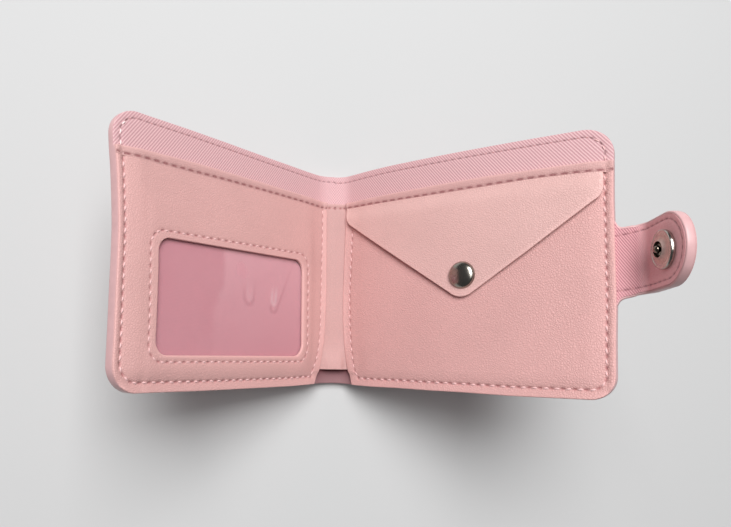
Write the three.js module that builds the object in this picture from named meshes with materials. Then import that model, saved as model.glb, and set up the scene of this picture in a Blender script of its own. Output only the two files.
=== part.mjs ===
// Bifold wallet lying open on its spine, both covers raised in a V.
// Millimetres, +Z up, +Y along the spine, +X towards the cover with the closing strap.
// Origin: centre of the flat outer face of the spine.
import * as THREE from 'three';
import { mergeVertices } from 'three/addons/utils/BufferGeometryUtils.js';

// ---- driving dimensions ----
const HEIGHT = 95;            // along the spine
const COVER_LEN = 110.5;      // fold axis to the outer edge
const HALF_SPINE = 6.55;      // spine centre to each fold axis
const LEFT_SLOPE = 41.2;      // rest slope of the left cover above the table, degrees
const RIGHT_SLOPE = 48.0;     // rest slope of the right cover
const CORNER_R = 10;          // outer corners of the covers
const SKIN = 1.4;             // outer leather
const PAD = 1.1;              // soft padding between leather and lining
const LINING = 0.8;           // twill lining
const FOLD_GAP = 0.15;        // clearance kept at a folded cover
const LIFT = 0.02;            // glue line kept between stacked sheets
const HEM_INNER = 35.3;       // top edge of the inner panels at the fold axis
const HEM_FALL = 0.0236;      // fall of that edge per mm towards the outer edge
const WINDOW = { u0: 16.5, u1: 93.8, y0: -35.2, y1: 5.6, r: 4 };
const FLAP_TILT = 2.6;        // the flap stands off the pocket at its snap, degrees
const FLAP_PIVOT_W = 4.75;    // height of the flap's fold above the cover's fold plane
const FLAP_SNAP = { u: 60.0, y: -3.3 };
const STRAP_W = 23.4;         // width of the closing strap
const STRAP_Y = -0.9;         // strap centre along the spine direction
const STRAP_T = 3.0;          // strap thickness
const STRAP_ROOT_DIR = -22;   // first strap length against the cover, degrees
const STRAP_TIP_DIR = 51;     // strap end against the cover, degrees
const STRAP_ROOT_LEN = 5.35;  // first strap fold to the second
const STRAP_SNAP_AT = 14.0;   // second strap fold to the snap centre
const STUD_AT = COVER_LEN - 10.5; // closure stud on the outer face of the left cover

const AXIS_Z = SKIN / 2;
const W_SKIN = SKIN / 2;
const W_PAD = W_SKIN + PAD;
const W_LIN = W_PAD + LINING;
const rad = Math.PI / 180;
const group = new THREE.Group();

// ---- frames ----
// local x runs along +X-ish, local y is the spine direction, local z the inner normal.
// On the left cover local x = -u, on the right cover local x = +u, u counted outward from the fold axis.
function coverFrame(side) {
  const t = (side < 0 ? LEFT_SLOPE : RIGHT_SLOPE) * rad;
  const ex = side < 0 ? new THREE.Vector3(Math.cos(t), 0, -Math.sin(t)) : new THREE.Vector3(Math.cos(t), 0, Math.sin(t));
  const ez = side < 0 ? new THREE.Vector3(Math.sin(t), 0, Math.cos(t)) : new THREE.Vector3(-Math.sin(t), 0, Math.cos(t));
  const m = new THREE.Matrix4().makeBasis(ex, new THREE.Vector3(0, 1, 0), ez);
  m.setPosition(side * HALF_SPINE, 0, AXIS_Z);
  return m;
}
const LEFT = coverFrame(-1);
const RIGHT = coverFrame(1);
const FLAT = new THREE.Matrix4();

// flap frame inside the right cover: local x along the hem, local y up the panel, local z off the panel
const FLAP = RIGHT.clone()
  .multiply(new THREE.Matrix4().makeTranslation(0, HEM_INNER - 3.6, FLAP_PIVOT_W))
  .multiply(new THREE.Matrix4().makeRotationZ(-Math.atan(HEM_FALL)))
  .multiply(new THREE.Matrix4().makeRotationX(-FLAP_TILT * rad));

// strap frames inside the right cover: local x along the strap, local z its inner normal
const STRAP1 = RIGHT.clone()
  .multiply(new THREE.Matrix4().makeTranslation(COVER_LEN + 1.9, STRAP_Y, 0.6))
  .multiply(new THREE.Matrix4().makeRotationY(-STRAP_ROOT_DIR * rad));
const STRAP2 = STRAP1.clone()
  .multiply(new THREE.Matrix4().makeTranslation(STRAP_ROOT_LEN, 0, 0))
  .multiply(new THREE.Matrix4().makeRotationY(-(STRAP_TIP_DIR - STRAP_ROOT_DIR) * rad));

// ---- materials ----
const LEATHER = { color: 0xdfa4a2, roughness: 0.55, metalness: 0 };
const LEATHER2 = { color: 0xe3aaa7, roughness: 0.55, metalness: 0 };
const TWILL = { color: 0xdb95a0, roughness: 0.8, metalness: 0 };
const DEEP = { color: 0xc97f8f, roughness: 0.85, metalness: 0 };
const FOAM = { color: 0xe6d9d4, roughness: 0.9, metalness: 0 };
const FILM = { color: 0xf4e8ea, roughness: 0.15, metalness: 0 };
const METAL = { color: 0x6f6a66, roughness: 0.2, metalness: 1 };
const METAL2 = { color: 0x9a938d, roughness: 0.25, metalness: 1 };

// ---- helpers ----
function outward(geo) {
  let g = geo.clone();
  g.deleteAttribute('normal');
  g.deleteAttribute('uv');
  g = mergeVertices(g, 1e-5);
  const p = g.attributes.position;
  const idx = Array.from(g.index.array);
  const keep = [];
  const a = new THREE.Vector3(), b = new THREE.Vector3(), c = new THREE.Vector3();
  let vol = 0;
  for (let i = 0; i < idx.length; i += 3) {
    const [i0, i1, i2] = [idx[i], idx[i + 1], idx[i + 2]];
    if (i0 === i1 || i1 === i2 || i0 === i2) continue;
    keep.push(i0, i1, i2);
    a.fromBufferAttribute(p, i0); b.fromBufferAttribute(p, i1); c.fromBufferAttribute(p, i2);
    vol += a.dot(b.clone().cross(c)) / 6;
  }
  if (vol < 0) for (let i = 0; i < keep.length; i += 3) { const t = keep[i]; keep[i] = keep[i + 1]; keep[i + 1] = t; }
  g.setIndex(keep);
  g.computeVertexNormals();
  return g;
}

function add(name, geo, frame, mat) {
  const g = outward(geo);
  g.applyMatrix4(frame);
  const m = new THREE.Mesh(g, new THREE.MeshStandardMaterial(mat));
  m.name = name;
  group.add(m);
}

// closed outline from corner points, each [x, y, radius, arc pieces]
function outline(corners) {
  const out = [];
  const n = corners.length;
  for (let i = 0; i < n; i++) {
    const p = new THREE.Vector2(corners[i][0], corners[i][1]);
    const r = corners[i][2] || 0;
    const k = corners[i][3] || 8;
    if (r === 0) { out.push(p); continue; }
    const q0 = new THREE.Vector2(corners[(i + n - 1) % n][0], corners[(i + n - 1) % n][1]).sub(p).normalize();
    const q1 = new THREE.Vector2(corners[(i + 1) % n][0], corners[(i + 1) % n][1]).sub(p).normalize();
    const half = Math.acos(Math.min(1, Math.max(-1, q0.dot(q1)))) / 2;
    const d = r / Math.tan(half);
    const c = q0.clone().add(q1).normalize().multiplyScalar(r / Math.sin(half)).add(p);
    const s = p.clone().addScaledVector(q0, d).sub(c);
    const e = p.clone().addScaledVector(q1, d).sub(c);
    const a0 = Math.atan2(s.y, s.x);
    let da = Math.atan2(e.y, e.x) - a0;
    while (da > Math.PI) da -= 2 * Math.PI;
    while (da < -Math.PI) da += 2 * Math.PI;
    for (let j = 0; j <= k; j++) out.push(new THREE.Vector2(c.x + r * Math.cos(a0 + da * j / k), c.y + r * Math.sin(a0 + da * j / k)));
  }
  return out;
}

// flat sheet between heights z0 and z1, with optional holes
function sheet(points, z0, z1, holes = []) {
  if (THREE.ShapeUtils.isClockWise(points)) points = points.slice().reverse();
  const s = new THREE.Shape(points);
  for (const h of holes) s.holes.push(new THREE.Path(h));
  const g = new THREE.ExtrudeGeometry(s, { depth: z1 - z0, bevelEnabled: false, steps: 1 });
  g.translate(0, 0, z0);
  return g;
}

// sheet laid on the one below it
const layer = (points, z0, z1, holes) => sheet(points, z0 + LIFT, z1, holes);

// the same corner list drawn on either side: x is u, mirrored on the left
const onSide = (side, corners) => outline(corners.map(c => [side * c[0], c[1], c[2], c[3]]));

// profile in the local x-z plane swept along local y
function bar(points, y0, y1) {
  const s = new THREE.Shape(points.map(p => new THREE.Vector2(p[0], p[1])));
  const g = new THREE.ExtrudeGeometry(s, { depth: y1 - y0, bevelEnabled: false, steps: 1 });
  g.rotateX(Math.PI / 2);      // extrusion direction to -y, profile y to +z
  g.translate(0, y1, 0);
  return g;
}

// turned piece about local z at (x, y)
function turned(profile, x, y, closed = false, seg = 32) {
  const pts = profile.map(p => new THREE.Vector2(p[0], p[1]));
  if (closed) pts.push(pts[0].clone());
  const g = new THREE.LatheGeometry(pts, seg);
  g.rotateX(Math.PI / 2);
  g.translate(x, y, 0);
  return g;
}

// domed disc: base at z0, rim height hr, crown height hc (both signed)
function dome(r, z0, hr, hc, k = 6) {
  const p = [[0, z0], [r, z0], [r, z0 + hr]];
  for (let i = 1; i <= k; i++) {
    const a = i / k * Math.PI / 2;
    p.push([i === k ? 0 : r * Math.cos(a), z0 + hr + (hc - hr) * Math.sin(a)]);
  }
  return p;
}

const hemY = u => HEM_INNER - HEM_FALL * u;
const H2 = HEIGHT / 2;

// ---- spine ----
const spineHalf = w => HALF_SPINE - w - FOLD_GAP;
function slab(half, z0, z1, y0 = -H2, y1 = H2) {
  return sheet(outline([[-half, y0], [half, y0], [half, y1], [-half, y1]]), z0 > 0 ? z0 + LIFT : z0, z1);
}
add('spine_leather', slab(spineHalf(W_SKIN), 0, SKIN), FLAT, LEATHER);
add('spine_padding', slab(spineHalf(W_PAD), SKIN, SKIN + PAD), FLAT, FOAM);
add('spine_lining', slab(spineHalf(W_LIN), SKIN + PAD, SKIN + PAD + LINING), FLAT, TWILL);
{
  // narrow leather strip over the spine, standing on two turned-down edges
  const z = SKIN + PAD + LINING + LIFT, a = 2.6, b = 1.9, t = 0.8;
  add('spine_strip', bar([[-a, z], [-b, z], [-b, z + t], [b, z + t], [b, z], [a, z], [a, z + t + 1], [-a, z + t + 1]], -41.3, HEM_INNER - 0.4), FLAT, LEATHER2);
}

// ---- covers ----
function coverOutline(side, u0) {
  return onSide(side, [[u0, -H2], [COVER_LEN, -H2, CORNER_R, 10], [COVER_LEN, H2, CORNER_R, 10], [u0, H2]]);
}
for (const [side, frame, n] of [[-1, LEFT, 'left'], [1, RIGHT, 'right']]) {
  add(n + '_outer_leather', sheet(coverOutline(side, W_SKIN + FOLD_GAP), -W_SKIN, W_SKIN), frame, LEATHER);
  add(n + '_padding', layer(coverOutline(side, W_PAD + FOLD_GAP), W_SKIN, W_PAD), frame, FOAM);
  add(n + '_lining', layer(coverOutline(side, W_LIN + FOLD_GAP), W_PAD, W_LIN), frame, TWILL);
}

// inner panel outline: square at the hem, flared at the fold end of the bottom edge
const PANEL_U0 = 4.7;
function panelOutline(side, u0, inset = 0) {
  const U = COVER_LEN - inset;
  return onSide(side, [
    [u0 + 5.6, -H2 + inset, 3, 4], [U, -H2 + inset, CORNER_R - inset, 10],
    [U, hemY(U) - inset], [u0, hemY(u0) - inset], [u0, -H2 + 19, 14, 6],
  ]);
}

// left cover: divider, window back, clear film, panel with the window, hem
add('card_divider', layer(panelOutline(-1, PANEL_U0), W_LIN, W_LIN + 0.4), LEFT, TWILL);
const slot = top => onSide(-1, [[12, -H2 + 4, 3, 4], [COVER_LEN - 5, -H2 + 4, 6, 6], [COVER_LEN - 5, top], [12, top]]);
add('card_slot_back', layer(slot(28), W_LIN + 0.4, W_LIN + 0.85), LEFT, LEATHER2);
add('card_slot_front', layer(slot(20), W_LIN + 0.85, W_LIN + 1.3), LEFT, LEATHER2);
const W1 = W_LIN + 1.3;
const wq = (side, g) => onSide(side, [
  [WINDOW.u0 - g, WINDOW.y0 - g, WINDOW.r], [WINDOW.u1 + g, WINDOW.y0 - g, WINDOW.r],
  [WINDOW.u1 + g, WINDOW.y1 + g, WINDOW.r], [WINDOW.u0 - g, WINDOW.y1 + g, WINDOW.r]]);
add('id_pocket_back', layer(wq(-1, 6), W1, W1 + 0.3), LEFT, DEEP);
add('id_window_film', layer(wq(-1, 4.5), W1 + 0.3, W1 + 0.5), LEFT, FILM);
const WP = W1 + 0.5;
add('left_inner_panel', layer(panelOutline(-1, PANEL_U0), WP, WP + 1.1, [wq(-1, 0)]), LEFT, LEATHER2);
function hemBand(side, drop, top, w0, w1) {
  const a = PANEL_U0, b = COVER_LEN;
  return layer(onSide(side, [[a, hemY(a) - drop], [b, hemY(b) - drop], [b, hemY(b) - top], [a, hemY(a) - top]]), w0, w1);
}
add('left_panel_hem', hemBand(-1, 3.2, 0, WP + 1.1, WP + 1.6), LEFT, LEATHER2);

// closure stud on the outer face of the left cover
add('closure_stud_base', turned([[0, -W_SKIN - 0.9], [5.2, -W_SKIN - 0.9], [5.9, -W_SKIN - 0.45], [5.9, -W_SKIN], [0, -W_SKIN]], -STUD_AT, STRAP_Y + 0.6), LEFT, METAL2);
add('closure_stud_post', turned([[0, -W_SKIN - 3.1], [1.3, -W_SKIN - 3.1], [2.0, -W_SKIN - 2.6], [2.0, -W_SKIN - 2.0], [1.6, -W_SKIN - 1.4], [1.6, -W_SKIN - 0.9], [0, -W_SKIN - 0.9]], -STUD_AT, STRAP_Y + 0.6), LEFT, METAL);

// right cover: coin pocket back, pocket front, hem
add('coin_pocket_back', layer(panelOutline(1, PANEL_U0), W_LIN, W_LIN + 0.4), RIGHT, TWILL);
const WC = W_LIN + 0.4;
add('right_inner_panel', layer(panelOutline(1, PANEL_U0), WC, WC + 1.1), RIGHT, LEATHER2);
add('right_panel_hem', hemBand(1, 2.6, 0, WC + 1.1, WC + 1.7), RIGHT, LEATHER2);
const WF = WC + 1.1;
add('pocket_stud_base', turned([[0, WF], [4.3, WF], [4.3, WF + 0.2], [3.9, WF + 0.35], [0, WF + 0.35]], FLAP_SNAP.u, FLAP_SNAP.y), RIGHT, METAL2);
add('pocket_stud_post', turned([[0, WF + 0.35], [1.35, WF + 0.35], [1.35, WF + 0.7], [1.7, WF + 0.95], [1.5, WF + 1.25], [0, WF + 1.4]], FLAP_SNAP.u, FLAP_SNAP.y), RIGHT, METAL);

// ---- coin pocket flap ----
// corners are given on the cover as (u, y) and moved into the flap's frame
const hemTurn = Math.atan(HEM_FALL);
function toFlap(u, y) {
  const dy = y - (HEM_INNER - 3.6);
  return [u * Math.cos(hemTurn) - dy * Math.sin(hemTurn), u * Math.sin(hemTurn) + dy * Math.cos(hemTurn)];
}
const flapCorner = (u, y, r, k) => [...toFlap(u, y), r, k];
function flapOutline(g) {
  const c = [
    flapCorner(4.9 + g, 23.4 + 0.3 * g, 8, 6), flapCorner(57.5, -12.5 + 1.2 * g, 7, 8), flapCorner(107.4 - g, 19.2 + 0.3 * g, 5, 6),
  ];
  return outline([[c[0][0], 0], c[0], c[1], c[2], [c[2][0], 0]]);
}
add('coin_flap', sheet(flapOutline(0), -0.2, 0.55), FLAP, LEATHER2);
add('flap_lining', sheet(flapOutline(0.6), -0.55, -0.2 - LIFT), FLAP, TWILL);
const [SNX, SNY] = toFlap(FLAP_SNAP.u, FLAP_SNAP.y);
add('flap_snap_cap', turned(dome(5.2, 0.55, 0.7, 2.4), SNX, SNY), FLAP, METAL);
add('flap_snap_socket', turned([[2.3, -0.55], [2.3, -1.3], [2.8, -1.5], [4.6, -1.5], [5.0, -1.25], [5.0, -0.55]], SNX, SNY, true), FLAP, METAL2);

// ---- closing strap ----
const T2 = STRAP_T / 2;
function strapBar(x0, x1, zlo, zhi, roundLo, roundHi) {
  // ends follow a half-round nose of the full strap thickness, cut between zlo and zhi
  const p = [], k = 5;
  for (let i = 0; i <= k; i++) { const z = zlo + (zhi - zlo) * i / k; p.push([x1 + (roundHi ? Math.sqrt(Math.max(0, T2 * T2 - z * z)) : 0), z]); }
  for (let i = k; i >= 0; i--) { const z = zlo + (zhi - zlo) * i / k; p.push([x0 - (roundLo ? Math.sqrt(Math.max(0, T2 * T2 - z * z)) : 0), z]); }
  return p;
}
const SPLIT = -0.1;           // height of the joint line between strap leather and strap lining
const noseAt = 2.25;          // centre of each nose from the second strap fold
add('strap_root_leather', bar(strapBar(0, STRAP_ROOT_LEN - noseAt, -T2, SPLIT, true, true), -STRAP_W / 2, STRAP_W / 2), STRAP1, LEATHER);
add('strap_root_lining', bar(strapBar(0, STRAP_ROOT_LEN - noseAt, SPLIT, T2, true, true), -STRAP_W / 2, STRAP_W / 2), STRAP1, TWILL);
function tongue(x0, k = 16) {
  const p = [], r = STRAP_W / 2;
  p.push(new THREE.Vector2(x0, -r));
  for (let i = 0; i <= k; i++) { const a = -Math.PI / 2 + Math.PI * i / k; p.push(new THREE.Vector2(STRAP_SNAP_AT + r * Math.cos(a), r * Math.sin(a))); }
  p.push(new THREE.Vector2(x0, r));
  return p;
}
add('strap_tip_leather', sheet(tongue(noseAt - 1.0), -T2, SPLIT), STRAP2, LEATHER);
add('strap_tip_lining', layer(tongue(noseAt), SPLIT, T2), STRAP2, TWILL);
const RY = 0.6;               // snap centre against the strap centre
add('strap_snap_socket', turned([[2.75, T2], [2.75, T2 + 0.9], [3.1, T2 + 1.1], [5.4, T2 + 1.1], [5.7, T2 + 1.5], [6.3, T2 + 1.3], [6.3, T2]], STRAP_SNAP_AT, RY, true, 40), STRAP2, METAL2);
add('strap_rivet', turned([[0, T2], [2.3, T2], [2.3, T2 + 0.35], [1.7, T2 + 0.85], [0.8, T2 + 1.05], [0, T2 + 1.1]], STRAP_SNAP_AT, RY), STRAP2, METAL);
add('strap_snap_cap', turned(dome(6.3, -T2, -0.5, -1.8), STRAP_SNAP_AT, RY), STRAP2, METAL);

export default group;
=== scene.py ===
import math

import bpy
import numpy as np
from mathutils import Matrix, Vector, kdtree
from mathutils.geometry import delaunay_2d_cdt


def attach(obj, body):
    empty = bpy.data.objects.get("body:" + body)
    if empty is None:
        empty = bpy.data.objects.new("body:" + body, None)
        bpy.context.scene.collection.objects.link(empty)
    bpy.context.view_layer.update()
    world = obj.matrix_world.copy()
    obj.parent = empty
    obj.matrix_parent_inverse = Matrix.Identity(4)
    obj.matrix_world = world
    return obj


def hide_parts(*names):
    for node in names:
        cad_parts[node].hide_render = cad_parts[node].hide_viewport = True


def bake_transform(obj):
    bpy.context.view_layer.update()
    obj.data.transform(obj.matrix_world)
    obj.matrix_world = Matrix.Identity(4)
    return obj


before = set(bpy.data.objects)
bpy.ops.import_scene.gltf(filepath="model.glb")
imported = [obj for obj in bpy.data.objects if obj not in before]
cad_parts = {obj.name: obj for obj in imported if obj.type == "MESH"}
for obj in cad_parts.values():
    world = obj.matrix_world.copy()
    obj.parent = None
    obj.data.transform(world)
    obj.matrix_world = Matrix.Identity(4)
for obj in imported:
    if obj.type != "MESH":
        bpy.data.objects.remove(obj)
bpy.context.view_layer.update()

rng = np.random.default_rng(11)
pi = math.pi

# ---------------------------------------------------------------------------------------------------------------------
# The soft surface of the open wallet. A point of a cover is (s, y, w) in mm: s along the leather from the middle of the
# spine, y along the spine, w out of the middle of the outer leather towards the inside.
HX, ZA, LEN, FLAT = 6.55, 0.7, 110.5, 2.4
SURF = {
    -1: (math.radians(41.2), -0.0211, 0.0519, -0.0172),
    1: (math.radians(48.0), -0.0395, -0.2005, 0.0089),
}
DS = 0.25
NS = int(132 / DS) + 1
YS = np.linspace(-54, 54, 55)
TAB = {}
for _side, (th, tw, bow, q) in SURF.items():
    ss = np.arange(NS) * DS
    X, Z, PH = (np.zeros((NS, len(YS))) for _ in range(3))
    for j, yy in enumerate(YS):
        t = yy / 47.5
        base = th + tw * t + q * (t * t - 1 / 3)
        d = HX - FLAT
        phi0 = base - bow / 2
        R = d / math.tan(phi0 / 2)
        b = FLAT + R * phi0
        pe = phi0 + bow * (d / LEN)
        ph = np.where(ss < FLAT, 0, np.where(ss < b, (ss - FLAT) / (b - FLAT) * pe, base + bow * ((ss - b + d) / LEN - 0.5)))
        pad = np.concatenate([-ph[1:13][::-1], ph, np.full(12, ph[-1])])
        soft = np.convolve(pad, np.ones(13) / 13, "same")[12 : 12 + NS]
        ph = np.where(ss < 30, soft, ph)
        X[:, j] = np.concatenate([[0], np.cumsum((np.cos(ph[1:]) + np.cos(ph[:-1])) / 2 * DS)])
        Z[:, j] = ZA + np.concatenate([[0], np.cumsum((np.sin(ph[1:]) + np.sin(ph[:-1])) / 2 * DS)])
        PH[:, j] = ph
    TAB[_side] = (X, Z, PH)


def smooth(x):
    x = np.clip(x, 0, 1)
    return x * x * (3 - 2 * x)


def bil(T, s, y):
    i = np.clip(s / DS, 0, NS - 1.001)
    j = np.clip((y - YS[0]) / (YS[1] - YS[0]), 0, len(YS) - 1.001)
    a0, b0 = i.astype(int), j.astype(int)
    a, b = i - a0, j - b0
    return T[a0, b0] * (1 - a) * (1 - b) + T[a0 + 1, b0] * a * (1 - b) + T[a0, b0 + 1] * (1 - a) * b + T[a0 + 1, b0 + 1] * a * b


def cover(side):
    def f(s, y, w):
        s, y, w = (np.asarray(v, float) for v in (s, y, w))
        sg = np.where(s < 0, -1.0, 1.0)
        X, Z, PH = TAB[side]
        x, z, ph = bil(X, abs(s), y) * sg, bil(Z, abs(s), y), bil(PH, abs(s), y) * sg
        return np.stack([side * (x - w * np.sin(ph)), y + 0 * x, z + w * np.cos(ph)], -1)

    f.flip = side < 0
    return f


LEFT, RIGHT = cover(-1), cover(1)
MAPS = {-1: LEFT, 1: RIGHT}

# The strap leaves the right cover's edge and curls up: t along it, v across it, w out of its middle towards its lining.
STRAP_A1, STRAP_L1, STRAP_B, STRAP_A2, STRAP_RING, STRAP_YAW, STRAP_W = 25.1, 5.06, 7.87, 102.0, 21.94, 0.0671, 11.6
EDGE = RIGHT(np.array(117.2), np.array(-0.9), np.array(1.3))
_tt = np.linspace(-8, 40, 961)
_k = np.clip((_tt - STRAP_L1) / STRAP_B, 0, 1)
_k = _k * _k * (3 - 2 * _k)
_a0 = np.radians(STRAP_A1 + (STRAP_A2 - STRAP_A1) * _k)
_root = np.clip(-_tt / 0.8, 0, 1)
_a0 = _a0 + np.radians(42.0 - STRAP_A1) * _root
_x = np.concatenate([[0], np.cumsum((np.cos(_a0[1:]) + np.cos(_a0[:-1])) / 2 * np.diff(_tt))])
_z = np.concatenate([[0], np.cumsum((np.sin(_a0[1:]) + np.sin(_a0[:-1])) / 2 * np.diff(_tt))])
_x -= np.interp(0, _tt, _x)
_z -= np.interp(0, _tt, _z)


def STRAP(t, v, w):
    t, v, w = (np.asarray(q, float) for q in (t, v, w))
    def path(t, v, w):
        x, z, a = np.interp(t, _tt, _x), np.interp(t, _tt, _z), np.interp(t, _tt, _a0)
        return np.stack([EDGE[0] + x - w * np.sin(a), EDGE[1] - 0.21 - 0.95 * (1 - smooth(t / 9.5)) + v + STRAP_YAW * t, EDGE[2] + z + w * np.cos(a)], -1)

    low = np.minimum(t, 0)
    yy = EDGE[1] - 1.16 + v + STRAP_YAW * low
    sewn = RIGHT(117.2 + low, yy, w + 1.3)
    gap = RIGHT(117.2 + 0 * t, EDGE[1] - 1.16 + v, w + 1.3) - path(0 * t, v, w)
    return np.where((t < 0)[..., None], sewn, path(t, v, w) + gap * (1 - smooth(t / 5.0))[..., None])


STRAP.flip = False


# ---------------------------------------------------------------------------------------------------------------------
# Flat drawing helpers
def knots(xs, ys):
    """A soft curve through a few design points."""
    g = np.linspace(xs[0], xs[-1], 400)
    v = np.interp(g, xs, ys)
    n = 21
    pad = np.concatenate([2 * v[0] - v[1 : n + 1][::-1], v, 2 * v[-1] - v[-n - 1 : -1][::-1]])
    k = np.hanning(2 * n + 1)
    v = np.convolve(pad, k / k.sum(), "same")[n : n + 400]
    return lambda x: np.interp(x, g, v)


TOP = {
    -1: knots([0, 7, 15.7, 28.7, 41, 63, 83, 100, 118], [46.5, 46.5, 46.5, 46.9, 47.2, 47.8, 48.1, 48.0, 48.0]),
    1: knots([0, 6, 9, 20, 31, 50, 67, 83, 97, 104, 118], [46.4, 46.7, 46.9, 47.3, 47.5, 47.4, 47.3, 47.2, 47.1, 47.1, 47.1]),
}
BOT = {
    -1: knots([0, 5, 16, 28, 63, 82, 100, 118], [-47.0, -47.1, -47.4, -47.7, -47.7, -47.6, -47.3, -47.3]),
    1: knots([0, 3, 7, 11, 22, 36, 51, 65, 83, 97, 118], [-47.0, -47.1, -47.3, -47.5, -47.7, -47.5, -47.6, -47.5, -47.7, -47.5, -47.3]),
}
OUT = {
    -1: knots([-48, -38, -22, -13, -3, 7, 17, 27, 32, 38, 48], [114.9, 114.9, 114.8, 114.7, 114.4, 114.2, 114.5, 114.9, 115.3, 115.5, 115.5]),
    1: knots([-48, -39, -29, -16, 2, 20, 34.5, 38, 48], [116.9, 116.9, 116.9, 117.2, 117.0, 116.9, 117.2, 117.3, 117.3]),
}
S0 = {-1: 115.0, 1: 117.3}
RTOP = {-1: 10.0, 1: 9.9}
RBOT = {-1: 9.7, 1: 7.7}


def warp(side, p):
    s, y = p[:, 0], p[:, 1]
    e = np.where(y > 0, TOP[side](s) - 47.7, BOT[side](s) + 47.7)
    return np.stack([s + np.clip(s / S0[side], 0, 2) ** 3 * (OUT[side](y) - S0[side]), y + np.abs(y) / 47.7 * e], -1)


def resample(p, step, closed=False):
    p = np.asarray(p, float)
    if closed:
        p = np.vstack([p, p[:1]])
    seg = np.hypot(*np.diff(p, axis=0).T)
    t = np.concatenate([[0], np.cumsum(seg)])
    n = max(2, int(round(t[-1] / step)))
    q = np.linspace(0, t[-1], n + 1)
    r = np.stack([np.interp(q, t, p[:, 0]), np.interp(q, t, p[:, 1])], -1)
    return r[:-1] if closed else r


def corner_path(pts, radii, step=0.7, closed=False):
    """A polyline with rounded corners."""
    pts = np.asarray(pts, float)
    n = len(pts)
    out = []
    for i in range(n):
        if not closed and i in (0, n - 1):
            out.append(pts[i][None])
            continue
        a, b, c = pts[i - 1], pts[i], pts[(i + 1) % n]
        r = radii[i]
        u, v = (a - b) / np.linalg.norm(a - b), (c - b) / np.linalg.norm(c - b)
        if r <= 0:
            out.append(b[None])
            continue
        ang = math.acos(np.clip(u @ v, -1, 1))
        d = r / math.tan(ang / 2)
        cen = b + (u + v) / np.linalg.norm(u + v) * r / math.sin(ang / 2)
        p0, p1 = b + u * d - cen, b + v * d - cen
        sweep = pi - ang
        cr = np.sign(p0[0] * p1[1] - p0[1] * p1[0])
        m = max(3, int(math.ceil(r * sweep / step)) + 1)
        k = np.linspace(0, sweep, m) * cr
        out.append(np.stack([cen[0] + p0[0] * np.cos(k) - p0[1] * np.sin(k), cen[1] + p0[0] * np.sin(k) + p0[1] * np.cos(k)], -1))
    p = np.vstack(out)
    return p


def rim(side, db, do, dt, rb, rt, step=0.7):
    """The shell's outline from the spine's middle round the cover, moved in by db at the bottom, do at the outer edge and dt at the top."""
    p = corner_path([(0, -47.7 + db), (S0[side] - do, -47.7 + db), (S0[side] - do, 47.7 - dt), (0, 47.7 - dt)], [0, rb, rt, 0], 0.5)
    p = warp(side, resample(p, step))
    p[0, 0] = p[-1, 0] = 0
    return p


def normals(p, closed):
    if closed:
        a, b = p - np.roll(p, 1, 0), np.roll(p, -1, 0) - p
    else:
        e = np.diff(p, axis=0)
        a, b = np.vstack([e[:1], e]), np.vstack([e, e[-1:]])
    a = a / np.maximum(np.linalg.norm(a, axis=1)[:, None], 1e-9)
    b = b / np.maximum(np.linalg.norm(b, axis=1)[:, None], 1e-9)
    na, nb = np.stack([-a[:, 1], a[:, 0]], -1), np.stack([-b[:, 1], b[:, 0]], -1)
    return (na + nb) / np.maximum(1 + (na * nb).sum(1), 0.35)[:, None]


def offset(p, d, closed):
    """p moved to its left by d."""
    return p + normals(p, closed) * d


def inside(q, poly):
    x, y = q[:, 0][:, None], q[:, 1][:, None]
    a, b = poly, np.roll(poly, -1, 0)
    c = ((a[:, 1] > y) != (b[:, 1] > y)) & (x < (b[:, 0] - a[:, 0]) * (y - a[:, 1]) / (b[:, 1] - a[:, 1] + 1e-12) + a[:, 0])
    return c.sum(1) % 2 == 1


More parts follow.
